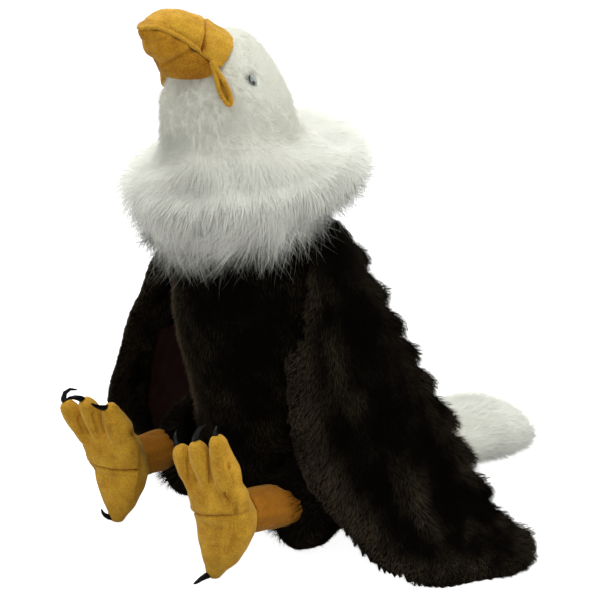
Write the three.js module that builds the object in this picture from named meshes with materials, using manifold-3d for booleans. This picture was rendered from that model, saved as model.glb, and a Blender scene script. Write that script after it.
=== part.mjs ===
// A plush bald eagle, sitting upright: legs straight out in front, wings hanging to the floor
// like a cape, tail laid out behind, beak lifted.
// Millimetres, +Z up, beak toward -Y, the bird's left toward +X.
// Each solid reaches out to the tips of its pile, and neighbours keep a gap of 0.3 mm.

import * as THREE from 'three';
import { mergeVertices } from 'three/addons/utils/BufferGeometryUtils.js';
import Module from 'manifold-3d';

const GAP = 0.3;
const BALL_SIDES = 12;

// Driving sizes.
const BODY_HALF_WIDTH = 80;
const CHEST_HEIGHT = 180;
const THIGH = { out: 72, forward: 34, up: 47, radii: [36, 44, 47.6] };
const RUFF_RADIUS = 101;
const RUFF_FORWARD = 40;
const HEAD_RADIUS = 54;
const HEAD_FORWARD = 58;
const CROWN_HEIGHT = 418;
const CERE_SEAM = { forward: 79.3, up: 428, slope: 0.305, sweep: 0.62 };
const GAPE = {
  left: { out: 36, up: 384.5 }, right: { out: 32.5, up: 387.5 },
  forward: 92.5, long: 38, wide: 10.5, thick: 5, slit: 1.1,
};
const EYE = { out: 41, forward: 66, up: 384, radii: [4, 4.7, 5.8], lean: 20, dish: 8 };
const WING_THICKNESS = 20;
const LINING_THICKNESS = 3;
const LEG_RADIUS = 17.5;
const TALON_RADIUS = 3.1;
const TALON_LENGTH = 21;

const COLOURS = {
  brown: 0x2b211b,
  white: 0xe9e8e2,
  velour: 0xd9a63a,
  maroon: 0x3a1a1a,
  talon: 0x101010,
  eye: 0x6d7476,
};

const wasm = await Module();
wasm.setup();

// A point from its place left of the middle, forward of the origin and above the floor.
function place(left, forward, up) {
  return new THREE.Vector3(left, -forward, up);
}

// ---- Solids from closed meshes ----

function signedVolume(geometry) {
  const point = geometry.attributes.position;
  const index = geometry.index;
  const [a, b, c] = [new THREE.Vector3(), new THREE.Vector3(), new THREE.Vector3()];
  let total = 0;
  for (let i = 0; i < index.count; i += 3) {
    a.fromBufferAttribute(point, index.getX(i));
    b.fromBufferAttribute(point, index.getX(i + 1));
    c.fromBufferAttribute(point, index.getX(i + 2));
    total += a.dot(b.cross(c));
  }
  return total / 6;
}

function solid(geometry) {
  const bare = geometry.clone();
  for (const name of Object.keys(bare.attributes)) {
    if (name !== 'position') {
      bare.deleteAttribute(name);
    }
  }
  const merged = mergeVertices(bare, 1e-4);
  const triangles = Uint32Array.from(merged.index.array);
  if (signedVolume(merged) < 0) {
    for (let i = 0; i < triangles.length; i += 3) {
      [triangles[i + 1], triangles[i + 2]] = [triangles[i + 2], triangles[i + 1]];
    }
  }
  return new wasm.Manifold(new wasm.Mesh({
    numProp: 3,
    vertProperties: Float32Array.from(merged.attributes.position.array),
    triVerts: triangles,
  }));
}

function cut(body, ...tools) {
  return tools.reduce((left, tool) => left.subtract(tool), body);
}

function box(left, forward, up, width, depth, height) {
  const geometry = new THREE.BoxGeometry(width, depth, height);
  geometry.translate(left, -forward, up);
  return solid(geometry);
}

// Everything below floor level is cut flat, so the toy rests on small flats.
function onFloor(body) {
  const [size, depth] = [900, 100];
  return body.subtract(box(0, 0, -depth / 2, size, size, depth));
}

// The lean tips the top of the ball forward, in degrees.
function ball(centre, radii, grow = 0, lean = 0) {
  const geometry = new THREE.SphereGeometry(1, BALL_SIDES, BALL_SIDES / 2);
  geometry.scale(radii[0] + grow, radii[1] + grow, radii[2] + grow);
  geometry.rotateX(THREE.MathUtils.degToRad(lean));
  geometry.translate(centre.x, centre.y, centre.z);
  return solid(geometry);
}

// ---- Lofts: a closed skin over a row of loops that all have the same number of points ----

function loft(loops) {
  const sides = loops[0].length;
  const points = loops.flat();
  const first = new THREE.Vector3();
  const last = new THREE.Vector3();
  loops[0].forEach((p) => first.addScaledVector(p, 1 / sides));
  loops.at(-1).forEach((p) => last.addScaledVector(p, 1 / sides));
  const index = [];
  for (let row = 0; row < loops.length - 1; row++) {
    for (let i = 0; i < sides; i++) {
      const a = row * sides + i;
      const b = row * sides + (i + 1) % sides;
      index.push(a, b, b + sides, a, b + sides, a + sides);
    }
  }
  const firstCap = points.length;
  const lastCap = firstCap + 1;
  const lastRow = (loops.length - 1) * sides;
  for (let i = 0; i < sides; i++) {
    const next = (i + 1) % sides;
    index.push(firstCap, next, i, lastCap, lastRow + i, lastRow + next);
  }
  const geometry = new THREE.BufferGeometry().setFromPoints([...points, first, last]);
  geometry.setIndex(index);
  return geometry;
}

// Smooth values through a row of stations, each one an object of plain numbers.
function blend(stations, steps) {
  const names = Object.keys(stations[0]);
  const rows = [];
  for (let step = 0; step <= steps; step++) {
    const at = step / steps * (stations.length - 1);
    const k = Math.min(Math.floor(at), stations.length - 2);
    const t = at - k;
    const row = {};
    for (const name of names) {
      const b = stations[k][name];
      const c = stations[k + 1][name];
      const a = k > 0 ? stations[k - 1][name] : 2 * b - c;
      const d = k < stations.length - 2 ? stations[k + 2][name] : 2 * c - b;
      row[name] = 0.5 * (2 * b + (c - a) * t + (2 * a - 5 * b + 4 * c - d) * t * t
        + (3 * b - a - 3 * c + d) * t * t * t);
    }
    rows.push(row);
  }
  return rows;
}

// Signed power: rounds an ellipse toward a box as the exponent falls below one.
function soft(value, exponent) {
  return Math.sign(value) * Math.abs(value) ** exponent;
}

// A body of level loops, each with its middle, half width and half depth.
function stacked(stations, steps, sides, grow = 0) {
  return loft(blend(stations, steps).map((s) => {
    const loop = [];
    for (let i = 0; i < sides; i++) {
      const turn = 2 * Math.PI * i / sides;
      loop.push(place(
        (s.wide + grow) * soft(Math.cos(turn), s.square),
        s.forward + (s.deep + grow) * soft(Math.sin(turn), s.square),
        s.up,
      ));
    }
    return loop;
  }));
}

// A limb along a bending middle line. Each station has its middle (left, forward, up) and its
// half sizes (wide, deep); "across" is the way that wide is measured. Ends are domed.
function limb(stations, across, { steps = 10, sides = 14, domes = [4, 4], grow = 0 } = {}) {
  const rows = blend(stations, steps);
  const middles = rows.map((r) => place(r.left, r.forward, r.up));
  const loops = [];
  const addLoop = (centre, along, wide, deep) => {
    const u = across.clone().addScaledVector(along, -across.dot(along)).normalize();
    const v = new THREE.Vector3().crossVectors(along, u);
    const loop = [];
    for (let i = 0; i < sides; i++) {
      const turn = 2 * Math.PI * i / sides;
      loop.push(centre.clone()
        .addScaledVector(u, wide * Math.cos(turn))
        .addScaledVector(v, deep * Math.sin(turn)));
    }
    loops.push(loop);
  };
  const alongAt = (k) => {
    const before = middles[Math.max(k - 1, 0)];
    const after = middles[Math.min(k + 1, middles.length - 1)];
    return after.clone().sub(before).normalize();
  };
  const domeTurns = [1.3, 0.75];
  const addDomeLoop = (k, reach, turn) => {
    const centre = middles[k].clone().addScaledVector(alongAt(k), reach * Math.sin(turn));
    const shrink = Math.cos(turn);
    addLoop(centre, alongAt(k), (rows[k].wide + grow) * shrink, (rows[k].deep + grow) * shrink);
  };
  domeTurns.forEach((turn) => addDomeLoop(0, -(domes[0] + grow), turn));
  rows.forEach((r, k) => addLoop(middles[k], alongAt(k), r.wide + grow, r.deep + grow));
  domeTurns.reverse().forEach((turn) => addDomeLoop(rows.length - 1, domes[1] + grow, turn));
  return loft(loops);
}

// ---- Trunk: a stuffed sack, with a rounded thigh sewn on at each side of its foot ----

function trunkShape(grow = 0) {
  const wide = BODY_HALF_WIDTH;
  return solid(stacked([
    { up: -6 - grow, forward: -8, wide: wide - 16, deep: 40, square: 0.9 },
    { up: 4, forward: -7, wide: wide - 2, deep: 56, square: 0.9 },
    { up: 26, forward: -6, wide: wide + 6, deep: 68, square: 0.92 },
    { up: 60, forward: -2, wide: wide + 4, deep: 73, square: 0.95 },
    { up: 100, forward: 4, wide, deep: 76, square: 1 },
    { up: 140, forward: 14, wide: wide - 2, deep: 76, square: 1 },
    { up: CHEST_HEIGHT, forward: 24, wide: wide - 3, deep: 75, square: 1 },
    { up: 215, forward: 27, wide: wide - 7, deep: 71, square: 1 },
    { up: 245, forward: 26, wide: wide - 13, deep: 65, square: 1 },
    { up: 266, forward: 24, wide: wide - 20, deep: 58, square: 1 },
    { up: 280, forward: 26, wide: wide - 36, deep: 42, square: 1 },
    { up: 288 + grow, forward: 28, wide: wide - 62, deep: 17, square: 1 },
  ], 14, 16, grow));
}

function thighShape(side, grow = 0) {
  return ball(place(side * THIGH.out, THIGH.forward, THIGH.up), THIGH.radii, grow);
}

// ---- Head: a domed column that rises out of the ruff ----

function headShape(grow = 0) {
  const r = HEAD_RADIUS;
  return solid(stacked([
    { up: 290 - grow, forward: 51, wide: r - 3, deep: r - 3, square: 1 },
    { up: 320, forward: 55, wide: r, deep: r, square: 1 },
    { up: 346, forward: HEAD_FORWARD, wide: r, deep: r - 1, square: 1 },
    { up: 364, forward: HEAD_FORWARD + 1, wide: r - 3, deep: r - 4, square: 1 },
    { up: 378, forward: HEAD_FORWARD + 2, wide: r - 7, deep: r - 9, square: 1 },
    { up: 390, forward: HEAD_FORWARD + 3, wide: r - 12, deep: r - 14, square: 1 },
    { up: 400, forward: HEAD_FORWARD + 3, wide: r - 19, deep: r - 20, square: 1 },
    { up: 409, forward: HEAD_FORWARD + 1, wide: r - 28, deep: r - 28, square: 1 },
    { up: 415, forward: HEAD_FORWARD - 1, wide: r - 38, deep: r - 38, square: 1 },
    { up: CROWN_HEIGHT + grow, forward: HEAD_FORWARD - 3, wide: 4, deep: 4, square: 1 },
  ], 11, 16, grow));
}

// ---- Ruff: the long white pile round the neck, lower in front than behind ----

function ruffShape() {
  const stations = [
    { radius: 34, front: 236, back: 292, forward: RUFF_FORWARD },
    { radius: 66, front: 227, back: 287, forward: RUFF_FORWARD },
    { radius: 81, front: 241, back: 293, forward: RUFF_FORWARD },
    { radius: 93, front: 262, back: 303, forward: RUFF_FORWARD },
    { radius: RUFF_RADIUS, front: 284, back: 315, forward: RUFF_FORWARD },
    { radius: 95, front: 297, back: 326, forward: RUFF_FORWARD },
    { radius: 79, front: 306, back: 333, forward: RUFF_FORWARD + 5 },
    { radius: 63, front: 311, back: 337, forward: RUFF_FORWARD + 10 },
    { radius: 34, front: 315, back: 339, forward: RUFF_FORWARD + 14 },
  ];
  const sides = 16;
  return solid(loft(blend(stations, 10).map((s) => {
    const loop = [];
    for (let i = 0; i < sides; i++) {
      const turn = 2 * Math.PI * i / sides;
      const up = (s.front + s.back) / 2 + (s.front - s.back) / 2 * Math.cos(turn);
      loop.push(place(s.radius * Math.sin(turn), s.forward + s.radius * Math.cos(turn), up));
    }
    return loop;
  })));
}

// ---- Beak: level-fronted sections from the head to the tip ----

// Each station is a slice across the beak: how far forward, the ridge above it, the mouth line,
// the underside of the jaw and the half width.
const BEAK_STATIONS = [
  { forward: 58, ridge: 414, mouth: 386, jaw: 380, wide: 25 },
  { forward: 70, ridge: 421.5, mouth: 389, jaw: 380, wide: 28.5 },
  { forward: 82, ridge: 427.5, mouth: 392, jaw: 381, wide: 29.5 },
  { forward: 94, ridge: 433.2, mouth: 398.7, jaw: 380.6, wide: 28.5 },
  { forward: 104, ridge: 436.3, mouth: 408, jaw: 381.1, wide: 26 },
  { forward: 114, ridge: 436.6, mouth: 416.1, jaw: 386.4, wide: 22 },
  { forward: 121.7, ridge: 434, mouth: 421.6, jaw: 397, wide: 16.6 },
  { forward: 130.2, ridge: 430.9, mouth: 425.7, jaw: 408.4, wide: 10.7 },
  { forward: 135.6, ridge: 428.7, mouth: 426.5, jaw: 417.4, wide: 5.5 },
  { forward: 138.4, ridge: 427, mouth: 424.8, jaw: 422.2, wide: 3 },
];

function beakHalf(isUpper) {
  const sides = 12;
  return solid(loft(blend(BEAK_STATIONS, 13).map((s) => {
    const base = isUpper ? s.mouth : s.mouth - GAP;
    const reach = isUpper ? s.ridge - base : s.jaw - base;
    const loop = [];
    for (let i = 0; i < sides; i++) {
      const turn = Math.PI * i / (sides - 1);
      loop.push(place(
        s.wide * soft(Math.cos(turn), 0.85),
        s.forward,
        base + reach * soft(Math.sin(turn), 0.9),
      ));
    }
    return loop;
  })));
}

// Everything ahead of the seam between the cere and the rest of the upper beak. The seam slopes,
// and sweeps forward down each side of the beak.
function aheadOfCere(shift) {
  const size = 200;
  const [left, right] = SIDES.map(([, side]) => {
    const geometry = new THREE.BoxGeometry(size, size, size);
    geometry.translate(0, -size / 2 - shift, 0);
    const facing = new THREE.Vector3(-side * CERE_SEAM.sweep, -1, CERE_SEAM.slope).normalize();
    geometry.applyQuaternion(
      new THREE.Quaternion().setFromUnitVectors(new THREE.Vector3(0, -1, 0), facing));
    geometry.translate(0, -CERE_SEAM.forward, CERE_SEAM.up);
    return solid(geometry);
  });
  return left.intersect(right);
}

// ---- Mouth corner: a folded loop of velour that hangs down the cheek ----

function gapeShape(name, side, grow = 0) {
  const { forward, long, wide, thick, slit } = GAPE;
  const { out: away, up: height } = GAPE[name];
  const outline = new THREE.Shape();
  const addRoundEnds = (path, half, radius) => {
    path.absarc(0, -half, radius, Math.PI, 2 * Math.PI, false);
    path.absarc(0, half, radius, 0, Math.PI, false);
  };
  addRoundEnds(outline, (long - wide) / 2, wide / 2 + grow);
  if (grow === 0) {
    const hole = new THREE.Path();
    addRoundEnds(hole, (long - wide) / 2 - wide / 3, slit);
    outline.holes.push(hole);
  }
  const depth = thick + 2 * grow;
  const geometry = new THREE.ExtrudeGeometry(outline, {
    depth, bevelEnabled: false, curveSegments: 4,
  });
  geometry.translate(0, 0, -depth / 2);
  // The loop's face looks out sideways and a little forward; its length hangs down and back.
  const out = new THREE.Vector3(side * 0.8, -0.6, 0.1).normalize();
  const up = new THREE.Vector3(-side * 0.17, -0.33, 0.93);
  up.addScaledVector(out, -up.dot(out)).normalize();
  const across = new THREE.Vector3().crossVectors(up, out);
  const turn = new THREE.Matrix4().makeBasis(across, up, out);
  turn.setPosition(place(side * away, forward, height));
  geometry.applyMatrix4(turn);
  return solid(geometry);
}

// ---- Wings: broad flat panels that hang from the shoulders and splay out on the floor ----

// Each station holds the front and back edge of the panel (left, forward, up) and how far its
// middle bows outward.
const WINGS = {
  left: [
    { fl: 50, ff: 50, fu: 268, bl: 46, bf: 2, bu: 278, bow: 16 },
    { fl: 66, ff: 50, fu: 247, bl: 72, bf: -18, bu: 252, bow: 13 },
    { fl: 75, ff: 60, fu: 208, bl: 93, bf: -31, bu: 206, bow: 11 },
    { fl: 78, ff: 66, fu: 165, bl: 113, bf: -43, bu: 165, bow: 10 },
    { fl: 84, ff: 69, fu: 118, bl: 137, bf: -57, bu: 120, bow: 9 },
    { fl: 104, ff: 71, fu: 80, bl: 160, bf: -66, bu: 78, bow: 8 },
    { fl: 134, ff: 58, fu: 44, bl: 181, bf: -77, bu: 38, bow: 8 },
    { fl: 165, ff: 42, fu: 22, bl: 206, bf: -86, bu: 18, bow: 6 },
    { fl: 198, ff: 8, fu: 10, bl: 225, bf: -70, bu: 9, bow: 4 },
  ],
  right: [
    { fl: 50, ff: 50, fu: 268, bl: 46, bf: 2, bu: 278, bow: 16 },
    { fl: 70, ff: 56, fu: 246, bl: 74, bf: -18, bu: 250, bow: 13 },
    { fl: 95, ff: 73, fu: 206, bl: 98, bf: -31, bu: 206, bow: 12 },
    { fl: 116, ff: 82, fu: 165, bl: 120, bf: -43, bu: 165, bow: 11 },
    { fl: 134, ff: 86, fu: 122, bl: 142, bf: -56, bu: 122, bow: 10 },
    { fl: 151, ff: 83, fu: 84, bl: 162, bf: -64, bu: 80, bow: 8 },
    { fl: 169, ff: 68, fu: 50, bl: 183, bf: -74, bu: 42, bow: 8 },
    { fl: 184, ff: 44, fu: 24, bl: 204, bf: -80, bu: 18, bow: 6 },
    { fl: 207, ff: 10, fu: 10, bl: 222, bf: -62, bu: 9, bow: 4 },
  ],
};

// The lining lies on the panel's inner face, behind a band of plush along the front edge.
function wingShape(name, side, isLining) {
  const rows = blend(WINGS[name], 14);
  const columns = 8;
  const [firstColumn, lastColumn] = isLining ? [3, columns - 1] : [0, columns];
  const [firstRow, lastRow] = isLining ? [3, 12] : [0, 14];
  const front = (r) => place(side * r.fl, r.ff, r.fu);
  const back = (r) => place(side * r.bl, r.bf, r.bu);
  const middle = (r) => front(r).add(back(r)).multiplyScalar(0.5);
  const half = WING_THICKNESS / 2;
  const faces = isLining ? [half + GAP + LINING_THICKNESS, half + GAP] : [-half, half];
  const loops = rows.map((r, k) => {
    const before = middle(rows[Math.max(k - 1, 0)]);
    const after = middle(rows[Math.min(k + 1, rows.length - 1)]);
    const down = after.sub(before).normalize();
    const chord = back(r).sub(front(r));
    const out = new THREE.Vector3().crossVectors(chord, down).normalize();
    out.multiplyScalar(Math.sign(out.x * side) || 1);
    const at = (column, face) => {
      const t = (1 - Math.cos(Math.PI * column / columns)) / 2;
      const round = (4 * t * (1 - t)) ** 0.4;
      const depth = isLining ? face - half + half * round : face * round;
      const bow = r.bow * 4 * t * (1 - t) - half;
      return front(r).addScaledVector(chord, t).addScaledVector(out, bow - depth);
    };
    const loop = [];
    for (let column = firstColumn; column <= lastColumn; column++) {
      loop.push(at(column, faces[0]));
    }
    const inset = isLining ? 0 : 1;
    for (let column = lastColumn - inset; column >= firstColumn + inset; column--) {
      loop.push(at(column, faces[1]));
    }
    return loop;
  });
  return solid(loft(loops.slice(firstRow, lastRow + 1)));
}

// ---- Tail: a long flat plume laid on the floor ----

function tailShape() {
  return onFloor(solid(limb([
    { left: 0, forward: -48, up: 48, wide: 30, deep: 24 },
    { left: 8, forward: -102, up: 43, wide: 41, deep: 24 },
    { left: 22, forward: -152, up: 27, wide: 53, deep: 26 },
    { left: 43, forward: -211, up: 28, wide: 46, deep: 29 },
    { left: 33, forward: -242, up: 13, wide: 35, deep: 14 },
  ], new THREE.Vector3(1, 0, 0), { steps: 7, sides: 14, domes: [6, 10] })));
}

// ---- Legs and feet ----

// A foot stands on its heel with its sole facing forward. Places are left, forward, up; "turn" is
// how far the sole turns to the bird's left, in degrees. "crease" is the fold across the sole that
// parts the hind toe from the rest: its height at the palm, and how far its left end is tipped up,
// in degrees. Each talon leaves its toe along "aim" and curls toward "hook". A "worn" talon is that
// share of the full length.
const FEET = {
  left: {
    side: 1, turn: 15, leg: [75, 60, 47], ankle: [71, 104, 53], heel: [61, 127, 7],
    palm: [66, 119, 52], knuckles: [64, 128, 78], crease: { up: 59.5, tip: 16 },
    toes: {
      inner: { tip: [42, 144, 109], aim: [-0.8, -0.1, 0.55], hook: [-0.6, -0.7, 0.1], bend: 0.9 },
      middle: { tip: [60, 143, 118], aim: [-0.5, -0.3, 0.8], hook: [0.2, -0.9, -0.3], bend: 1.2 },
      outer: { tip: [76, 135, 126], aim: [-0.7, -0.36, 0.6], hook: [-0.2, -0.9, -0.3], bend: 1.2 },
    },
    hind: { tip: [61, 130, 3.8], aim: [-0.1, 1, 0.05], hook: [0.1, -1, -0.1], bend: 0.7 },
  },
  right: {
    side: -1, turn: 19, leg: [-76, 60, 47], ankle: [-74, 104, 50], heel: [-70, 126, 6.6],
    palm: [-75, 118, 48], knuckles: [-77, 129, 74], crease: { up: 51.5, tip: 2 },
    toes: {
      inner: { tip: [-60, 137, 109], aim: [-0.14, 0.97, 0.19], hook: [0.5, 0.3, 0.8], bend: 0.7 },
      middle: { tip: [-81, 146, 111], aim: [-0.36, 0.68, 0.64], hook: [0.6, 0, -0.8], bend: 1.1 },
      outer: { tip: [-102, 151, 103], aim: [-0.55, 0.44, 0.71], hook: [0.4, -0.9, 0.1], bend: 2.8 },
    },
    hind: { tip: [-71, 131, 4.2], aim: [-0.35, 0.9, 0.05], hook: [0, -0.3, 1], bend: 1.4, worn: 0.62 },
  },
};

function footAcross(foot) {
  const turn = THREE.MathUtils.degToRad(foot.turn);
  return new THREE.Vector3(Math.cos(turn), Math.sin(turn), 0);
}

function station([left, forward, up], wide, deep) {
  return { left, forward, up, wide, deep };
}

function mix(a, b, t) {
  return a.map((value, i) => value + (b[i] - value) * t);
}

// The foot's stuffed body, from the tip of the hind toe up to the roots of the front toes.
function soleShape(foot, grow = 0) {
  return onFloor(solid(limb([
    station(mix(foot.heel, foot.palm, -0.06), 7, 7),
    station(mix(foot.heel, foot.palm, 0.28), 14.5, 12.5),
    station(mix(foot.heel, foot.palm, 0.62), 22, 16),
    station(foot.palm, 27.5, 18.5),
    station(mix(foot.palm, foot.knuckles, 0.5), 27.5, 17.5),
    station(foot.knuckles, 26, 15),
    station(mix(foot.knuckles, foot.toes.middle.tip, 0.18), 23, 10),
  ], footAcross(foot), { steps: 9, sides: 14, domes: [5, 4], grow })));
}

function aboveCrease({ palm, crease }, shift) {
  const size = 200;
  const geometry = new THREE.BoxGeometry(size, size, size);
  geometry.translate(0, 0, size / 2 + shift);
  geometry.rotateY(-THREE.MathUtils.degToRad(crease.tip));
  geometry.translate(palm[0], -palm[1], crease.up);
  return solid(geometry);
}

function frontToeShape(foot, name, grow = 0) {
  const offset = { inner: -1, middle: 0, outer: 1 }[name] * foot.side;
  const across = footAcross(foot);
  const root = [
    foot.knuckles[0] + across.x * offset * 16,
    foot.knuckles[1] - across.y * offset * 16,
    foot.knuckles[2] - 3,
  ];
  const tip = foot.toes[name].tip;
  return solid(limb([
    station(root, 8.6, 9.6),
    station(mix(root, tip, 0.45), 9.2, 9.8),
    station(mix(root, tip, 0.75), 8.6, 9),
    station(mix(root, tip, 0.95), 7, 7.4),
  ], across, { steps: 3, sides: 8, domes: [3, 5], grow }));
}

function talonShape({ tip, aim, hook, bend, worn = 1 }) {
  const long = TALON_LENGTH * worn;
  const onward = place(...aim).normalize();
  const aside = place(...hook);
  aside.addScaledVector(onward, -aside.dot(onward)).normalize();
  const steps = 4;
  const stations = [];
  for (let k = 0; k <= steps; k++) {
    const t = k / steps;
    const at = place(...tip)
      .addScaledVector(onward, long * Math.sin(bend * t) / bend)
      .addScaledVector(aside, long * (1 - Math.cos(bend * t)) / bend);
    const radius = TALON_RADIUS * (1 - 0.8 * t);
    stations.push(station([at.x, -at.y, at.z], radius, radius));
  }
  const across = new THREE.Vector3().crossVectors(onward, aside);
  return solid(limb(stations, across, { steps, sides: 5, domes: [1.5, 0.5] }));
}

// ---- The model ----

function colourOf(name) {
  const material = new THREE.MeshStandardMaterial({ color: COLOURS[name] });
  material.roughness = { talon: 0.25, eye: 0.1 }[name] ?? 0.9;
  material.metalness = 0;
  return material;
}

function meshOf(name, body, colour) {
  const shape = body.getMesh();
  const geometry = new THREE.BufferGeometry();
  geometry.setAttribute('position', new THREE.BufferAttribute(shape.vertProperties, 3));
  geometry.setIndex(new THREE.BufferAttribute(shape.triVerts, 1));
  geometry.computeVertexNormals();
  const mesh = new THREE.Mesh(geometry, colourOf(colour));
  mesh.name = name;
  return mesh;
}

const eagle = new THREE.Group();
const SIDES = [['left', 1], ['right', -1]];

const sackRoom = trunkShape(GAP);
const trunkRoom = sackRoom.add(thighShape(1, GAP)).add(thighShape(-1, GAP));
const headRoom = headShape(GAP);

// Eyes sit in the pile, each in a shallow dish.
let head = headShape();
for (const [name, side] of SIDES) {
  const centre = place(side * EYE.out, EYE.forward, EYE.up);
  const dish = place(side * (EYE.out + EYE.dish + 1), EYE.forward + 3, EYE.up);
  const socket = ball(centre, EYE.radii, GAP, EYE.lean);
  head = cut(head, socket, ball(dish, [EYE.dish, EYE.dish, EYE.dish]));
  const eye = ball(centre, EYE.radii, 0, EYE.lean);
  eagle.add(meshOf(`eye_${name}`, eye, 'eye'));
}

// The beak: a jaw below the mouth line, a beak above it, and the cere behind a sloping seam.
const upper = cut(beakHalf(true), headRoom);
const lower = cut(beakHalf(false), headRoom);
eagle.add(meshOf('beak_upper', upper.intersect(aheadOfCere(GAP / 2)), 'velour'));
eagle.add(meshOf('beak_cere', cut(upper, aheadOfCere(-GAP / 2)), 'velour'));
eagle.add(meshOf('beak_lower', lower, 'velour'));

for (const [name, side] of SIDES) {
  const room = gapeShape(name, side, GAP);
  head = cut(head, room);
  const loop = cut(gapeShape(name, side), beakHalf(true), beakHalf(false));
  eagle.add(meshOf(`gape_${name}`, loop, 'velour'));
}
eagle.add(meshOf('head', head, 'white'));

eagle.add(meshOf('trunk', onFloor(trunkShape()), 'brown'));
for (const [name, side] of SIDES) {
  eagle.add(meshOf(`thigh_${name}`, onFloor(cut(thighShape(side), sackRoom)), 'brown'));
}

// Wings and their linings stop at the trunk; the ruff lies over trunk, neck and shoulders.
const wings = [];
for (const [name, side] of SIDES) {
  const panel = wingShape(name, side, false);
  wings.push(panel);
  const wing = onFloor(cut(panel, trunkRoom));
  const lining = onFloor(cut(wingShape(name, side, true), trunkRoom));
  eagle.add(meshOf(`wing_${name}`, wing, 'brown'));
  eagle.add(meshOf(`wing_lining_${name}`, lining, 'maroon'));
}
const ruff = cut(ruffShape(), trunkRoom, headRoom, ...wings);
eagle.add(meshOf('ruff', ruff, 'white'));
eagle.add(meshOf('tail', cut(tailShape(), trunkRoom), 'white'));

for (const [name, foot] of Object.entries(FEET)) {
  const sole = soleShape(foot);
  const soleRoom = soleShape(foot, GAP);
  eagle.add(meshOf(`foot_${name}`, sole.intersect(aboveCrease(foot, GAP / 2)), 'velour'));
  eagle.add(meshOf(`toe_${name}_hind`, cut(sole, aboveCrease(foot, -GAP / 2)), 'velour'));
  const leg = limb([
    station(foot.leg, LEG_RADIUS, LEG_RADIUS),
    station(mix(foot.leg, foot.ankle, 0.5), LEG_RADIUS, LEG_RADIUS),
    station(foot.ankle, LEG_RADIUS - 1, LEG_RADIUS - 1),
  ], new THREE.Vector3(1, 0, 0), { steps: 3, sides: 12 });
  eagle.add(meshOf(`leg_${name}`, cut(solid(leg), trunkRoom, soleRoom), 'velour'));
  const taken = [soleRoom];
  for (const toe of ['middle', 'inner', 'outer']) {
    eagle.add(meshOf(`toe_${name}_${toe}`, cut(frontToeShape(foot, toe), ...taken), 'velour'));
    const toeRoom = frontToeShape(foot, toe, GAP);
    taken.push(toeRoom);
    const talon = cut(talonShape(foot.toes[toe]), toeRoom);
    eagle.add(meshOf(`talon_${name}_${toe}`, talon, 'talon'));
  }
  const hindTalon = onFloor(cut(talonShape(foot.hind), soleRoom));
  eagle.add(meshOf(`talon_${name}_hind`, hindTalon, 'talon'));
}

// The origin is the middle of the whole toy's outline, on the floor.
const outline = new THREE.Box3().setFromObject(eagle);
const middle = outline.getCenter(new THREE.Vector3());
eagle.position.set(-middle.x, -middle.y, -outline.min.z);

export default eagle;
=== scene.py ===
"""Looks of a sitting plush eagle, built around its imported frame.

Metres, +Z up. The toy faces -Y and its left wing is toward +X.
Every stuffed piece is a smooth skin that lies inside the frame's solid by the depth of its pile,
and the pile is a coat of fine solid tufts that reach out to the solid's own outline.
"""

import math

import bmesh
import bpy
import numpy as np
import openvdb as vdb
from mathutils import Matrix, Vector
from mathutils.bvhtree import BVHTree
from mathutils.kdtree import KDTree


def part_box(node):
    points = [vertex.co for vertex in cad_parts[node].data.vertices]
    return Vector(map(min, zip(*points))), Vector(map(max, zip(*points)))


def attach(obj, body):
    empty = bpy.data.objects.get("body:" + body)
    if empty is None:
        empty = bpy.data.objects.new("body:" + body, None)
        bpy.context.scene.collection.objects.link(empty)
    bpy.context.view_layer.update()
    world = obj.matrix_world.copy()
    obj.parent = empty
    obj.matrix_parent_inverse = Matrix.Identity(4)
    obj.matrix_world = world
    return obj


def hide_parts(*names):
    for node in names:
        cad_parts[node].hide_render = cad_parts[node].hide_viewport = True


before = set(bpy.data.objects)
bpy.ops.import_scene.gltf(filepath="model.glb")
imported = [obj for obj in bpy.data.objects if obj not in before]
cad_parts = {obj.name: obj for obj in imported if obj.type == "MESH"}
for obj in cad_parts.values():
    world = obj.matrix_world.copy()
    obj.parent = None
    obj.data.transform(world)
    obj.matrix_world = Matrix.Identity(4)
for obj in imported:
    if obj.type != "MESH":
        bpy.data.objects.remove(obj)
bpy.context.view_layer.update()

MM = 0.001
SIDES = (("left", 1), ("right", -1))
TOES = ("inner", "middle", "outer")


# ---- Places on the toy ----

def box_middle(node):
    low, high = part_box(node)
    return np.array((low + high) / 2)


# The maker's own zero is under the neck: the eyes stand 66 mm forward of it.
EYE_FORWARD = 66
EYES = {name: box_middle(f"eye_{name}") for name, _ in SIDES}
ZERO = np.array([
    (EYES["left"][0] + EYES["right"][0]) / 2,
    EYES["left"][1] + EYE_FORWARD * MM,
    0,
])


def place(left, forward, up):
    """A point on the toy, from millimetres to its left, forward of its zero and above the floor."""
    return ZERO + np.array([left, -forward, up]) * MM


def by_maker(points):
    """How far each point is to the left, forward of the zero and up, in millimetres."""
    left, back, up = ((points - ZERO) / MM).T
    return left, -back, up


def unit(vectors):
    length = np.linalg.norm(vectors, axis=-1, keepdims=True)
    return vectors / np.maximum(length, 1e-12)


def smooth_step(values, low, high):
    t = np.clip((values - low) / (high - low), 0, 1)
    return t * t * (3 - 2 * t)


def hump(distance, width):
    """A soft hump: 1 at no distance, falling away over the given width."""
    return np.exp(-(distance / width) ** 2)


def path_of(*stops, side=1):
    """A path through places on the toy, given for its left side, or mirrored to its right."""
    return np.array([place(side * left, forward, up) for left, forward, up in stops])


def distance_to_path(points, path):
    """How far each point is from a path. No two stops of the path in a row may be the same."""
    nearest = np.full(len(points), np.inf)
    for start, end in zip(path[:-1], path[1:]):
        span = end - start
        along = np.clip((points - start) @ span / (span @ span), 0, 1)
        away = np.linalg.norm(points - start - along[:, None] * span, axis=1)
        nearest = np.minimum(nearest, away)
    return nearest


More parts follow.
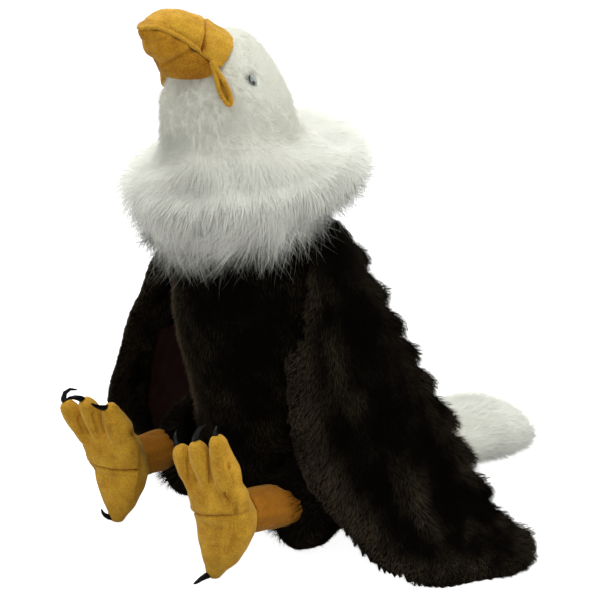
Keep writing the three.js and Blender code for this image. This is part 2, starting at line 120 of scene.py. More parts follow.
def drift(points, size, seed, waves=7):
    """A soft random value from about -1 to 1 that changes over the given size."""
    draw = np.random.default_rng(seed)
    total = np.zeros(len(points))
    for _ in range(waves):
        heading = unit(draw.normal(size=3))
        pace = 2 * math.pi / size * draw.uniform(0.6, 1.5)
        total += np.sin(points @ heading * pace + draw.uniform(0, 2 * math.pi))
    return total / math.sqrt(waves)


def put_in_scene(name, data):
    made = bpy.data.objects.new(name, data)
    bpy.context.scene.collection.objects.link(made)
    return made


def mark_points(mesh, label, values):
    """Gives each point of a mesh a value that its finish reads."""
    mesh.attributes.new(label, "FLOAT", "POINT").data.foreach_set("value", values)


# ---- Skins: smooth closed forms made from the frame's solids ----

# Each round of smoothing moves a point this share of the way to its neighbours, then back.
SMOOTH = 0.5
REGAIN = 0.51


class Skin:
    """A closed form as arrays of points and four-sided faces."""

    def __init__(self, points, quads):
        self.points = points
        self.quads = quads
        edges = np.concatenate([quads[:, [k, (k + 1) % 4]] for k in range(4)])
        edges = np.unique(np.sort(edges, axis=1), axis=0)
        self.ends = np.concatenate([edges, edges[:, ::-1]])
        self.degree = np.bincount(self.ends[:, 0], minlength=len(points))

    def around(self, values):
        """The mean of each point's neighbours."""
        start, end = self.ends.T
        sums = [np.bincount(start, values[end, k], len(values)) for k in range(values.shape[1])]
        return np.stack(sums, axis=1) / self.degree[:, None]

    def relax(self, rounds):
        """Rounds off corners. The bulk stays as it was."""
        for _ in range(rounds):
            self.points += SMOOTH * (self.around(self.points) - self.points)
            self.points -= REGAIN * (self.around(self.points) - self.points)

    def normals(self):
        a, b, c, d = (self.points[self.quads[:, k]] for k in range(4))
        facing = np.cross(c - a, d - b)
        total = np.zeros_like(self.points)
        for k in range(4):
            for axis in range(3):
                total[:, axis] += np.bincount(self.quads[:, k], facing[:, axis], len(total))
        return unit(total)

    def push(self, distance):
        self.points += self.normals() * np.asarray(distance).reshape(-1, 1)

    def nearest(self, path):
        """The skin's own points that lie nearest to each stop of a path."""
        return np.array([self.points[np.linalg.norm(self.points - stop, axis=1).argmin()]
                         for stop in path])

    def press(self, path, depth, width):
        """A groove along a path, or a welt where the depth is negative."""
        self.push(-depth * hump(distance_to_path(self.points, path), width))

    def swell(self, spot, height, width):
        """A soft swelling about a spot, or a dent where the height is negative."""
        self.push(height * hump(np.linalg.norm(self.points - spot, axis=1), width))

    def keep_above(self, height):
        self.points[:, 2] = np.maximum(self.points[:, 2], height)

    def settle(self, depth, height):
        """Lets the foot of the form down on to the floor, where its weight presses the pile flat."""
        self.points[:, 2] -= 0.8 * depth * smooth_step(self.points[:, 2], height, 0.3 * height)
        self.keep_above(0.2 * MM)

    def to_object(self, name):
        mesh = bpy.data.meshes.new(name)
        mesh.from_pydata(self.points.tolist(), [], self.quads.tolist())
        mesh.shade_smooth()
        return put_in_scene(name, mesh)


def node_arrays(node):
    """The points and triangles of a solid of the frame."""
    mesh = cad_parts[node].data
    points = np.zeros(len(mesh.vertices) * 3, np.float32)
    mesh.vertices.foreach_get("co", points)
    mesh.calc_loop_triangles()
    triangles = np.zeros(len(mesh.loop_triangles) * 3, np.int32)
    mesh.loop_triangles.foreach_get("vertices", triangles)
    points, merged = np.unique(
        np.round(points.reshape(-1, 3), 6), axis=0, return_inverse=True)
    triangles = merged.reshape(-1)[triangles].reshape(-1, 3)
    a, b, c = triangles.T
    return points, triangles[(a != b) & (b != c) & (c != a)]


class Lattice:
    """A block of cells that holds the distance to solids, so that they can be joined and set in."""

    def __init__(self, low, high, cell, reach, margin):
        self.cell = cell
        self.reach = reach
        self.low = np.floor(low / cell).astype(int) - margin
        self.shape = np.ceil(high / cell).astype(int) + margin - self.low
        self.transform = vdb.createLinearTransform(voxelSize=cell)

    def centres(self):
        """The place of every cell, as a list of points."""
        cells = np.indices(self.shape).reshape(3, -1).T + self.low
        return cells * self.cell

    def read(self, cells, points):
        """The values of the cells nearest to some points."""
        spots = np.rint(points / self.cell).astype(int) - self.low
        return cells[tuple(np.clip(spots, 0, np.array(self.shape) - 1).T)]

    def distance(self, node):
        points, triangles = node_arrays(node)
        band = self.reach / self.cell + 2
        grid = vdb.FloatGrid.createLevelSetFromPolygons(
            points.astype(np.float32), triangles=triangles.astype(np.uint32),
            transform=self.transform, halfWidth=band)
        cells = np.zeros(self.shape, np.float32)
        grid.copyToArray(cells, ijk=tuple(int(v) for v in self.low))
        return cells

    def skin(self, cells):
        grid = vdb.FloatGrid(float(self.reach + 2 * self.cell))
        grid.transform = self.transform
        grid.copyFromArray(cells.astype(np.float32), ijk=tuple(int(v) for v in self.low))
        points, quads = grid.convertToQuads(isovalue=0)
        return Skin(points.astype(float), quads.astype(int))


def lattice_round(nodes, cell, reach):
    """A lattice with room for some solids of the frame."""
    corners = np.array([[list(c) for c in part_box(node)] for node in nodes])
    return Lattice(corners[:, 0].min(0), corners[:, 1].max(0), cell, reach, 4)


def soft_min(a, b, blend):
    """The nearer of two distances, with the corner between them filled over the given width."""
    h = np.clip(0.5 + 0.5 * (b - a) / blend, 0, 1)
    return b * (1 - h) + a * h - blend * h * (1 - h)


def skin_of(nodes, cell, depth=0.0, blend=0.0, rounds=12):
    """One rounded skin round some solids, set in from their outline by the given depth."""
    lattice = lattice_round(nodes, cell, depth + 4 * cell + blend)
    cells = lattice.distance(nodes[0])
    for node in nodes[1:]:
        other = lattice.distance(node)
        cells = soft_min(cells, other, blend) if blend else np.minimum(cells, other)
    skin = lattice.skin(cells + np.float32(depth))
    skin.relax(rounds)
    return skin


# ---- Pile: coats of fine solid tufts ----

def unwrap(piece):
    """Lays the skin out flat, and returns each face corner's place on the layout."""
    bpy.context.view_layer.objects.active = piece
    piece.select_set(True)
    bpy.ops.object.mode_set(mode="EDIT")
    bpy.ops.mesh.select_all(action="SELECT")
    bpy.ops.uv.smart_project(angle_limit=math.radians(60), island_margin=0.004)
    bpy.ops.object.mode_set(mode="OBJECT")
    piece.select_set(False)
    layer = piece.data.uv_layers.active
    layer.name = "unwrap"
    places = np.zeros(len(piece.data.loops) * 2, np.float32)
    layer.data.foreach_get("uv", places)
    return places.reshape(-1, 4, 2)


class Ground:
    """A skin as a place for pile to grow."""

    def __init__(self, skin, piece):
        corners = unwrap(piece)
        pick = np.array([[0, 1, 2], [0, 2, 3]])
        self.points = skin.points
        self.facing = skin.normals()
        self.triangles = skin.quads[:, pick].reshape(-1, 3)
        self.layout = corners[:, pick].reshape(-1, 3, 2)

    def roots(self, count, seed):
        """Evenly spread roots."""
        draw = np.random.default_rng(seed)
        a, b, c = (self.points[self.triangles[:, k]] for k in range(3))
        share = np.linalg.norm(np.cross(b - a, c - a), axis=1)
        reach = np.cumsum(share)
        picks = (np.arange(count) + draw.random(count)) / count * reach[-1]
        chosen = np.minimum(np.searchsorted(reach, picks), len(reach) - 1)
        u, v = draw.random((2, count, 1))
        over = (u + v) > 1
        u, v = np.where(over, 1 - u, u), np.where(over, 1 - v, v)
        weigh = np.stack([1 - u - v, u, v], axis=1)
        corner = self.triangles[chosen]
        return {
            "at": (self.points[corner] * weigh).sum(1),
            "out": unit((self.facing[corner] * weigh).sum(1)),
            "patch": (self.layout[chosen] * weigh).sum(1),
        }


_solids = {}


def solid_of(node):
    if node not in _solids:
        points, triangles = node_arrays(node)
        _solids[node] = BVHTree.FromPolygons(points.tolist(), triangles.tolist())
    return _solids[node]


def within(node, points, bury=0.0):
    """Which of the points lie inside a solid of the frame, and deeper in it than the given depth."""
    low, high = (np.array(c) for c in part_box(node))
    near = np.all((points > low) & (points < high), axis=1)
    found = np.zeros(len(points), bool)
    tree = solid_of(node)
    for k in np.flatnonzero(near):
        spot = Vector(points[k])
        nearest, facing, _, away = tree.find_nearest(spot)
        found[k] = (spot - nearest).dot(facing) < 0 and away > bury
    return found


def keep(roots, chosen):
    return {name: values[chosen] for name, values in roots.items()}


def covered(roots, nodes, height, bury=0.0):
    """Which roots would grow straight into another piece, at a height above the cloth."""
    hidden = np.zeros(len(roots["at"]), bool)
    for node in nodes:
        hidden |= within(node, roots["at"] + roots["out"] * height, bury)
    return hidden


# How far up a tuft each ring of its sides stands, and how wide the ring is.
RISES = {1: (0.0,), 2: (0.0, 0.5), 3: (0.0, 0.36, 0.72)}
RING_WIDTHS = (0.85, 1.0, 0.7)
TUFT_FLATNESS = 0.6
# How much tufts of one coat differ in length and in width.
LENGTH_SPREAD = 0.16
WIDTH_SPREAD = 0.2
# A tuft's room on the unwrapped cloth.
PATCH = 0.003


def locks(roots, centre, hold, spread, draw):
    """Draws the tips of neighbouring tufts together, so that the pile falls in locks."""
    count = len(roots["at"])
    leaders = draw.choice(count, max(2, int(count * spread)), replace=False)
    tree = KDTree(len(leaders))
    for slot_at, leader in enumerate(leaders):
        tree.insert(roots["at"][leader], slot_at)
    tree.balance()
    mine = leaders[[tree.find(p)[1] for p in roots["at"]]]
    for rise, points in centre.items():
        pull = np.reshape(hold, (-1, 1)) * rise ** 1.5
        centre[rise] = points + pull * (centre[rise][mine] - points)
    return centre


def grow(name, roots, look, comb, seed):
    """Builds the tufts of a coat as one or more solid pieces, each kept under MOST_TRIANGLES
    triangles.

    look gives the pile's length and width in metres, its lift where it leaves the cloth and at
    its tip in degrees, how loose and how ruffled it is, how strongly it falls in locks and how
    fine they are, and how far it is lit as the cloth below it, rather than by its own sides.
    """
    draw = np.random.default_rng(seed)
    count = len(roots["at"])
    out = roots["out"]
    lie = unit(comb - (comb * out).sum(1, keepdims=True) * out)
    aside = np.cross(out, lie)
    stray = look["stray"] * draw.normal(size=(count, 1))
    lie = lie * np.cos(stray) + aside * np.sin(stray)
    length = look["length"] * np.exp(LENGTH_SPREAD * draw.normal(size=count))
    jitter = np.radians(draw.normal(0, look.get("ruffle", 9), (count, 1)))
    start = np.radians(np.reshape(look["lift"][0], (-1, 1))) + jitter
    end = np.radians(np.reshape(look["lift"][1], (-1, 1))) + jitter
    leave = lie * np.cos(start) + out * np.sin(start)
    finish = lie * np.cos(end) + out * np.sin(end)
    finish = unit(finish + np.array([0, 0, -1]) * look.get("sag", 0.0))
    rings = look["rings"]
    reach = length[:, None]
    centre = {}
    for rise in (*RISES[rings], 1.0):
        bend = rise * rise / 2
        centre[rise] = roots["at"] + reach * (leave * (rise - bend) + finish * bend)
    centre = locks(roots, centre, look["hold"], look["locks"], draw)
    rises = list(centre)
    points = np.zeros((count, rings * 3 + 1, 3), np.float32)
    patch = np.zeros((count, rings * 3 + 1, 2), np.float32)
    rise_at = np.zeros((count, rings * 3 + 1), np.float32)
    width = np.asarray(look["width"]) * np.exp(WIDTH_SPREAD * draw.normal(size=count)) / 2
    for k, rise in enumerate(rises[:-1]):
        along = unit(centre[rises[k + 1]] - centre[rise])
        side = unit(np.cross(out, along))
        top = np.cross(along, side)
        half = (width * RING_WIDTHS[k])[:, None]
        for j in range(3):
            turn = math.radians(120 * j - 30)
            points[:, 3 * k + j] = centre[rise] + half * (
                side * math.cos(turn) + TUFT_FLATNESS * top * math.sin(turn))
            patch[:, 3 * k + j] = roots["patch"] + PATCH * np.array([(j - 1) / 2, rise - 0.5])
            rise_at[:, 3 * k + j] = rise
    points[:, -1] = centre[1.0]
    patch[:, -1] = roots["patch"] + PATCH * np.array([0, 0.5])
    rise_at[:, -1] = 1.0
    points[:, :, 2] = np.maximum(points[:, :, 2], 0.3 * MM)
    tone = np.clip(roots["tone"] + look.get("speckle", 0.08) * draw.normal(size=count), 0, 1)
    tone_at = np.repeat(tone[:, None], rings * 3 + 1, axis=1)
    middle = points.mean(axis=1, keepdims=True)
    soft = look["soft"]
    facing = unit(out[:, None, :] * soft + unit(points - middle) * (1 - soft))
    return cut_into_pieces(name, points, np.clip(patch, 0, 1), rise_at, tone_at, facing, rings)


def tuft_faces(rings):
    """One tuft's faces, as corner lists: its sides, its point and its root."""
    faces = []
    for k in range(rings - 1):
        for j in range(3):
            a, b = 3 * k + j, 3 * k + (j + 1) % 3
            faces.append([a, b, b + 3, a + 3])
    last = 3 * (rings - 1)
    for j in range(3):
        faces.append([last + j, last + (j + 1) % 3, last + 3])
    faces.append([2, 1, 0])
    return faces


# No piece of a coat has more.
MOST_TRIANGLES = 190_000


def cut_into_pieces(name, points, patch, rise_at, tone_at, facing, rings):
    """Splits a coat by height, where it would be too large for one piece."""
    faces = tuft_faces(rings)
    per_tuft = sum(len(face) - 2 for face in faces)
    pieces = max(1, math.ceil(len(points) * per_tuft / MOST_TRIANGLES))
    made = []
    for k, chosen in enumerate(np.array_split(np.argsort(-points[:, 0, 2], kind="stable"), pieces)):
        label = f"{name}_{k + 1}" if pieces > 1 else name
        made.append(pile_piece(label, points[chosen], patch[chosen], rise_at[chosen],
                               tone_at[chosen], facing[chosen], faces))
    return made


def pile_piece(name, points, patch, rise_at, tone_at, facing, faces):
    count, per_tuft = points.shape[:2]
    corners = np.concatenate(faces)
    sizes = np.array([len(face) for face in faces])
    base = np.arange(count)[:, None] * per_tuft
    loops = (base + corners[None, :]).reshape(-1)
    starts = np.concatenate([[0], np.cumsum(sizes)[:-1]])
    starts = (np.arange(count)[:, None] * len(corners) + starts[None, :]).reshape(-1)
    mesh = bpy.data.meshes.new(name)
    mesh.vertices.add(count * per_tuft)
    mesh.vertices.foreach_set("co", points.reshape(-1))
    mesh.loops.add(len(loops))
    mesh.loops.foreach_set("vertex_index", loops.astype(np.int32))
    mesh.polygons.add(len(starts))
    mesh.polygons.foreach_set("loop_start", starts.astype(np.int32))
    mesh.update(calc_edges=True)
    layer = mesh.uv_layers.new(name="OFBake")
    layer.data.foreach_set("uv", patch.reshape(-1, 2)[loops].reshape(-1))
    mark_points(mesh, "rise", rise_at.reshape(-1))
    mark_points(mesh, "tone", tone_at.reshape(-1))
    mesh.shade_smooth()
    mesh.normals_split_custom_set_from_vertices(facing.reshape(-1, 3))
    return put_in_scene(name, mesh)


# ---- Finishes ----

def group(name, inputs, outputs):
    """A shader group with named inputs and outputs."""
    tree = bpy.data.node_groups.new(name, "ShaderNodeTree")
    for label, kind, value in inputs:
        socket = tree.interface.new_socket(label, in_out="INPUT", socket_type=kind)
        socket.default_value = value
    for label, kind in outputs:
        tree.interface.new_socket(label, in_out="OUTPUT", socket_type=kind)
    return tree, tree.nodes.new("NodeGroupInput"), tree.nodes.new("NodeGroupOutput")


def feed(tree, node, inputs):
    """Links each named input of a node to a socket, or sets it to a value."""
    for label, value in inputs.items():
        if isinstance(value, bpy.types.NodeSocket):
            tree.links.new(value, node.inputs[label])
        else:
            node.inputs[label].default_value = value


def add_node(tree, kind, inputs=None, **settings):
    """Adds a node to a tree, and returns its outputs."""
    node = tree.nodes.new(kind)
    for label, value in settings.items():
        setattr(node, label, value)
    feed(tree, node, inputs or {})
    return node.outputs


def math_node(tree, operation, a, b):
    return add_node(tree, "ShaderNodeMath", {0: a, 1: b}, operation=operation)[0]


def mix_colours(tree, factor, a, b):
    return add_node(tree, "ShaderNodeMix", {0: factor, 6: a, 7: b}, data_type="RGBA")[2]


def two_shades(tree, factor, low, high):
    return mix_colours(tree, factor, (*low, 1), (*high, 1))


def attribute(tree, label):
    """A value that the piece's points were marked with."""
    return add_node(tree, "ShaderNodeAttribute", attribute_name=label)["Fac"]


def noise(tree, size, detail=3.0):
    """A noise value on the piece's own coordinates, with features of the given size in metres."""
    where = add_node(tree, "ShaderNodeTexCoord")["Object"]
    return add_node(tree, "ShaderNodeTexNoise",
                    {"Scale": 1 / size, "Detail": detail, "Vector": where})["Fac"]


def weighed_sum(tree, *parts):
    """The sum of some values, each times its weight."""
    total = None
    for value, weight in parts:
        part = math_node(tree, "MULTIPLY", value, weight)
        total = part if total is None else math_node(tree, "ADD", total, part)
    return total


def bump(tree, height, distance):
    return add_node(tree, "ShaderNodeBump", {"Distance": distance, "Height": height})[0]


def make_pile_group():
    """Pile colour: dark in the depth of the pile as painted shade, lighter at its tips as a painted
    highlight, patchy over the cloth.
    """
    colour, value = "NodeSocketColor", "NodeSocketFloat"
    tree, given, result = group("pile colour", [
        ("Depth", colour, (0, 0, 0, 1)),
        ("Body", colour, (0.5, 0.5, 0.5, 1)),
        ("Tip", colour, (1, 1, 1, 1)),
        ("Patch", value, 0.5),
    ], [("Colour", colour)])
    rise = attribute(tree, "rise")
    patches = math_node(tree, "MULTIPLY", math_node(
        tree, "SUBTRACT", noise(tree, 0.03, 2.0), 0.5), given.outputs["Patch"])
    light = math_node(tree, "ADD", attribute(tree, "tone"), patches)
    body = mix_colours(tree, math_node(tree, "MULTIPLY", rise, 2.0),
                       given.outputs["Depth"], given.outputs["Body"])
    high = math_node(tree, "MULTIPLY", math_node(tree, "POWER", rise, 1.5), light)
    tree.links.new(mix_colours(tree, high, body, given.outputs["Tip"]), result.inputs[0])
    return tree


def material(name, roughness, specular=0.5):
    made = bpy.data.materials.new(name)
    made.use_nodes = True
    tree = made.node_tree
    shader = tree.nodes["Principled BSDF"]
    feed(tree, shader, {"Roughness": roughness, "Specular IOR Level": specular})
    return made, tree, shader


def pile_material(name, depth, body, tip, patch, roughness, specular, sheen):
    made, tree, shader = material(name, roughness, specular)
    colour = add_node(tree, "ShaderNodeGroup", {
        "Depth": (*depth, 1), "Body": (*body, 1), "Tip": (*tip, 1), "Patch": patch,
    }, node_tree=PILE_GROUP)[0]
    feed(tree, shader, {"Base Color": colour, "Sheen Weight": sheen, "Sheen Roughness": 0.5})
    return made


def cloth_material(name, low, high, grain, depth, specular=0.2):
    """Plain cloth: two shades in soft patches, with a fine grain standing on it."""
    made, tree, shader = material(name, 0.9, specular)
    broad = noise(tree, 0.02)
    fine = noise(tree, grain, 2.0)
    shade = weighed_sum(tree, (broad, 0.7), (fine, 0.5))
    feed(tree, shader, {"Base Color": two_shades(tree, shade, low, high),
                        "Normal": bump(tree, fine, depth)})
    return made


def velour_material(name, low, high):
    """Velour: a short nap, brushed lighter and darker in patches, with a fine stand of fibre."""
    made, tree, shader = material(name, 0.85, 0.15)
    brushed = noise(tree, 0.013, 2.0)
    nap = noise(tree, 0.0016, 2.0)
    fibre = noise(tree, 0.0005, 2.0)
    shade = weighed_sum(tree, (brushed, 0.9), (nap, 0.8), (fibre, 1.1))
    # The points' mark of painted shade darkens the velour: in creases, seam grooves and on the jaw
    # below its fold.
    lost = math_node(tree, "ADD", 0.85, attribute(tree, "painted shade"))
    shade = math_node(tree, "SUBTRACT", shade, lost)
    height = math_node(tree, "ADD", fibre, math_node(tree, "MULTIPLY", nap, 0.6))
    feed(tree, shader, {"Base Color": two_shades(tree, shade, low, high),
                        "Normal": bump(tree, height, 0.0003), "Sheen Weight": 0.35,
                        "Sheen Roughness": 0.4, "Sheen Tint": (1.0, 0.78, 0.32, 1)})
    return made


PILE_GROUP = make_pile_group()
BROWN_PILE = pile_material("brown plush pile", (0.001, 0.0008, 0.0006), (0.003, 0.0023, 0.0016),
                           (0.14, 0.108, 0.066), 0.5, 0.9, 0.03, 0.0)
WHITE_PILE = pile_material("white plush pile", (0.82, 0.825, 0.735), (0.89, 0.90, 0.81),
                           (0.93, 0.94, 0.86), 0.2, 0.8, 0.1, 0.1)
# A darker, warmer copy of the white pile for the head: the darkening is painted shade.
SHADED_HEAD_PILE = pile_material("white short pile", (0.75, 0.755, 0.64), (0.82, 0.83, 0.71),
                          (0.86, 0.87, 0.76), 0.2, 0.8, 0.1, 0.1)
BROWN_CLOTH = cloth_material("brown plush backing", (0.0015, 0.0012, 0.001),
                             (0.004, 0.003, 0.0022), 0.001, 0.0004, specular=0.03)
WHITE_CLOTH = cloth_material("white plush backing", (0.78, 0.785, 0.68), (0.83, 0.84, 0.73),
                             0.001, 0.0003)
VELOUR = velour_material("yellow velour", (0.31, 0.115, 0.004), (0.77, 0.445, 0.042))
# A darker copy of the yellow velour for the jaw, which faces down: painted shade.
SHADED_JAW_VELOUR = velour_material("yellow velour painted shade", (0.28, 0.09, 0.003),
                                 (0.68, 0.35, 0.024))
# A darker copy of the yellow velour for the legs, which stand under the body: painted shade.
SHADED_LEG_VELOUR = velour_material("yellow velour of the legs", (0.22, 0.068, 0.003),
                             (0.46, 0.182, 0.012))
LINING = cloth_material("maroon lining", (0.007, 0.0018, 0.0013), (0.020, 0.0050, 0.0035),
                        0.0008, 0.0003, specular=0.05)


# ---- Putting a piece on the toy ----

def finish_piece(piece, finish, nodes=()):
    piece.data.materials.clear()
    piece.data.materials.append(finish)
    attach(piece, "root")
    if nodes:
        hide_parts(*nodes)
    return piece


def lay_cloth(skin, name, finish, nodes):
    """Puts a padded skin on the toy, and returns it as a place for pile to grow."""
    piece = skin.to_object(name)
    ground = Ground(skin, piece)
    finish_piece(piece, finish, nodes)
    return ground


def lay_velour(skin, name, finish, nodes, painted_shade=None):
    """Puts a velour skin on the toy, darker where it carries painted shade."""
    piece = skin.to_object(name)
    if painted_shade is not None:
        mark_points(piece.data, "painted shade", painted_shade)
    finish_piece(piece, finish, nodes)


def add_coat(name, ground, count, seed, hidden, look, comb, tone, finish, sheer=False):
    """Sows, combs and grows one coat, and puts its pieces on the toy.

    A sheer coat's fibres are fine enough to let the light by, and cast no shadow.
    """
    roots = ground.roots(count, seed)
    roots = keep(roots, ~hidden(roots))
    for label in ("length", "width", "hold", "lift"):
        if callable(look[label]):
            look = dict(look, **{label: look[label](roots)})
    roots["tone"] = tone(roots["at"])
    for piece in grow(name, roots, look, comb(roots), seed + 1):
        finish_piece(piece, finish)
        piece.visible_shadow = not sheer


def down(roots):
    """Pile that hangs down."""
    return np.array([0, 0, -1]) + 0 * roots["out"]


def facing_down(roots):
    """How far the cloth under each root is an underside."""
    return smooth_step(-roots["out"][:, 2], 0.15, 0.7)


# ---- Trunk and thighs ----

# Plush cloth has a dense short ground of pile, and longer tufts that fall over it.
PLUSH = {
    "ground": {"length": 6.5 * MM, "width": 0.6 * MM, "lift": (36, 14), "stray": 0.3,
               "hold": 0.12, "locks": 0.03, "rings": 1, "speckle": 0.05, "soft": 0.6},
    "over": {"length": 8 * MM, "width": 0.5 * MM, "lift": (46, 10), "stray": 0.34,
             "hold": 0.3, "locks": 0.06, "rings": 2, "sag": 0.1, "speckle": 0.06, "soft": 0.6},
}
TRUNK_DEPTH = 5 * MM


def add_plush(name, ground, layers, length, lift, comb, tone):
    """Grows both layers of brown plush.

    Each layer gives its count, its seed, which roots are hidden, and what else is its own.
    """
    for (layer, look), (count, seed, hidden, own) in zip(PLUSH.items(), layers):
        look = dict(look, length=length(look["length"]), lift=lift(*look["lift"]), **own)
        add_coat(f"{name}_{layer}_pile", ground, count, seed, hidden, look, comb, tone,
                 BROWN_PILE)


def trunk():
    nodes = ["trunk", "thigh_left", "thigh_right"]
    skin = skin_of(nodes, 4 * MM, TRUNK_DEPTH, 12 * MM)
    skin.push(1.2 * MM * drift(skin.points, 0.09, 3))
    # The chest is slack in its middle, and has a fold across it.
    hollow = path_of((40, 84, 205), (42, 82, 150))
    waist = path_of((-12, 92, 146), (8, 90, 139), (32, 82, 143))
    skin.press(hollow, 3.5 * MM, 22 * MM)
    skin.press(waist, 1.8 * MM, 7 * MM)
    # It gives way where each wing's front edge lies on it.
    for name, _ in SIDES:
        lattice = lattice_round([f"wing_{name}"], 6 * MM, 14 * MM)
        rows = WingEdges(lattice.skin(lattice.distance(f"wing_{name}")).points).rows
        edge = rows[:, [1, 2, 0]]
        skin.press(edge[edge[:, 2] > 0.1], 7 * MM, 12 * MM)
    # The thighs sag under the legs.
    for spot, sag in (((-66, 64, 18), 10), ((77, 66, 20), 6)):
        skin.swell(place(*spot), sag * MM, 22 * MM)
    skin.settle(TRUNK_DEPTH, 26 * MM)
    ground = lay_cloth(skin, "trunk_body", BROWN_CLOTH, nodes)
    hips = {side: box_middle(f"leg_{name}") for name, side in SIDES}

    def comb(roots):
        lie = down(roots)
        lie += np.array([0, 0.9, 0]) * facing_down(roots)[:, None]
        for side, hip in hips.items():
            away = roots["at"] - hip
            reach = np.linalg.norm(away, axis=1)
            near = smooth_step(reach, 0.085, 0.05)[:, None]
            sweep = unit(away) * 0.8 + np.array([0.4 * side, 0.5, -0.6])
            lie = lie * (1 - near) + sweep * near
            # Where a leg comes out of the thigh, the pile lies forward over its root.
            over = smooth_step(np.hypot(away[:, 0], away[:, 2]), 0.034, 0.024)[:, None]
            lie = lie * (1 - over) + np.array([0, -1, -0.1]) * over
        return lie

    def tone(points):
        # Painted light: a painted rim highlight down the right flank, and painted shade in the
        # chest's hollow, along its fold and beside the left wing. The mottle is the pile's own
        # patchy tone.
        left, forward, up = by_maker(points)
        mottle = 0.26 + 0.18 * drift(points, 0.05, 11) + 0.1 * drift(points, 0.018, 12)
        in_front = smooth_step(forward, 10, 50)
        painted_rim_light = smooth_step(left, -10, -45) * smooth_step(up, 70, 110) * in_front
        return (mottle + 0.85 * painted_rim_light
                - 0.35 * hump(distance_to_path(points, hollow), 30 * MM)
                - 0.3 * hump(distance_to_path(points, waist), 8 * MM)
                - 0.2 * smooth_step(left, 50, 70) * smooth_step(up, 70, 110))

    def hidden(roots):
        over = ["ruff", "head", "wing_left", "wing_right", "wing_lining_left",
                "wing_lining_right"]
        return (covered(roots, over, TRUNK_DEPTH + 1.5 * MM)
                | covered(roots, ["leg_left", "leg_right"], 0))

    def by_leg(roots):
        """How near each root is to a leg. There the pile stands out over the leg's root."""
        near = np.zeros(len(roots["at"]))
        for hip in hips.values():
            away = roots["at"] - hip
            ahead = smooth_step(-away[:, 1], -42 * MM, -22 * MM)
            beside = smooth_step(np.hypot(away[:, 0], away[:, 2]), 0.036, 0.026)
            near = np.maximum(near, beside * ahead)
        return near

    def hold(roots):
        return 0.12 * (1 - by_leg(roots))

    def off_legs(roots):
        return hidden(roots) | (by_leg(roots) > 0.15)

    def length(usual):
        return lambda roots: usual * (1 - 0.4 * facing_down(roots)) * (1 + 0.9 * by_leg(roots))

    def lift(highest, lowest):
        def at(roots):
            under, near = facing_down(roots), by_leg(roots)
            return (highest * (1 - 0.5 * under) * (1 - near) + 72 * near,
                    lowest * (1 - 0.8 * under) * (1 - near) + 50 * near)
        return at

    layers = (57000, 20, hidden, {"hold": hold}), (11000, 24, off_legs, {})
    add_plush("trunk", ground, layers, length, lift, comb, tone)


# ---- Wings ----

WING_DEPTH = 4.5 * MM
# The lining stops short of the back edge, which is turned under and keeps its pile, and of the
# shoulder, which is plush all round.
LINING_END = 0.8
LINING_TOP = 140


# Each shoulder is padded: the left one at its back, the right one at its front.
SHOULDERS = {"left": (76, 11, 264), "right": (-85, 68, 212)}


class WingEdges:
    """Where a wing's front and back edges run, by height, read off the wing itself."""

    def __init__(self, points):
        levels = np.linspace(points[:, 2].min(), points[:, 2].max(), 24)
        rows = []
        for low, high in zip(levels[:-1], levels[1:]):
            band = points[(points[:, 2] >= low) & (points[:, 2] <= high)]
            rows.append([(low + high) / 2, *band[band[:, 1].argmin(), :2],
                         *band[band[:, 1].argmax(), :2]])
        self.rows = np.array(rows)

    def across(self, points):
        """How far each point lies from the front edge, 0, to the back edge, 1."""
        edges = [np.interp(points[:, 2], self.rows[:, 0], self.rows[:, k]) for k in range(1, 5)]
        front, back = np.stack(edges[:2], axis=1), np.stack(edges[2:], axis=1)
        chord = back - front
        along = ((points[:, :2] - front) * chord).sum(1) / (chord * chord).sum(1)
        heading = np.column_stack([unit(chord), np.zeros(len(points))])
        return np.clip(along, 0, 1), heading


# The back edge falls in lobes: the heights of the nicks between them, in millimetres.
NICKS = (12, 42, 66, 98, 130, 152, 178, 206, 232, 262)


def lobes(up):
    """How far the back edge stands out, from -1 at a nick to 1 just above it."""
    nicks = np.array(NICKS)
    which = np.clip(np.searchsorted(nicks, up) - 1, 0, len(nicks) - 2)
    share = np.clip((up - nicks[which]) / (nicks[which + 1] - nicks[which]), 0, 1)
    return 1.7 * smooth_step(share, 0, 0.35) * (1 - share) ** 0.8 - 0.6


# A wing's folds lean back by this share of its width for each millimetre above their foot.
FOLD_LEAN = 0.0035
FOLD_FOOT = 45


def wing_fold(along, up, start, width, middle, reach):
    """A fold that starts at a share of the wing's width, and is strongest at a height."""
    return hump(along - start - FOLD_LEAN * (up - FOLD_FOOT), width) * hump(up - middle, reach)


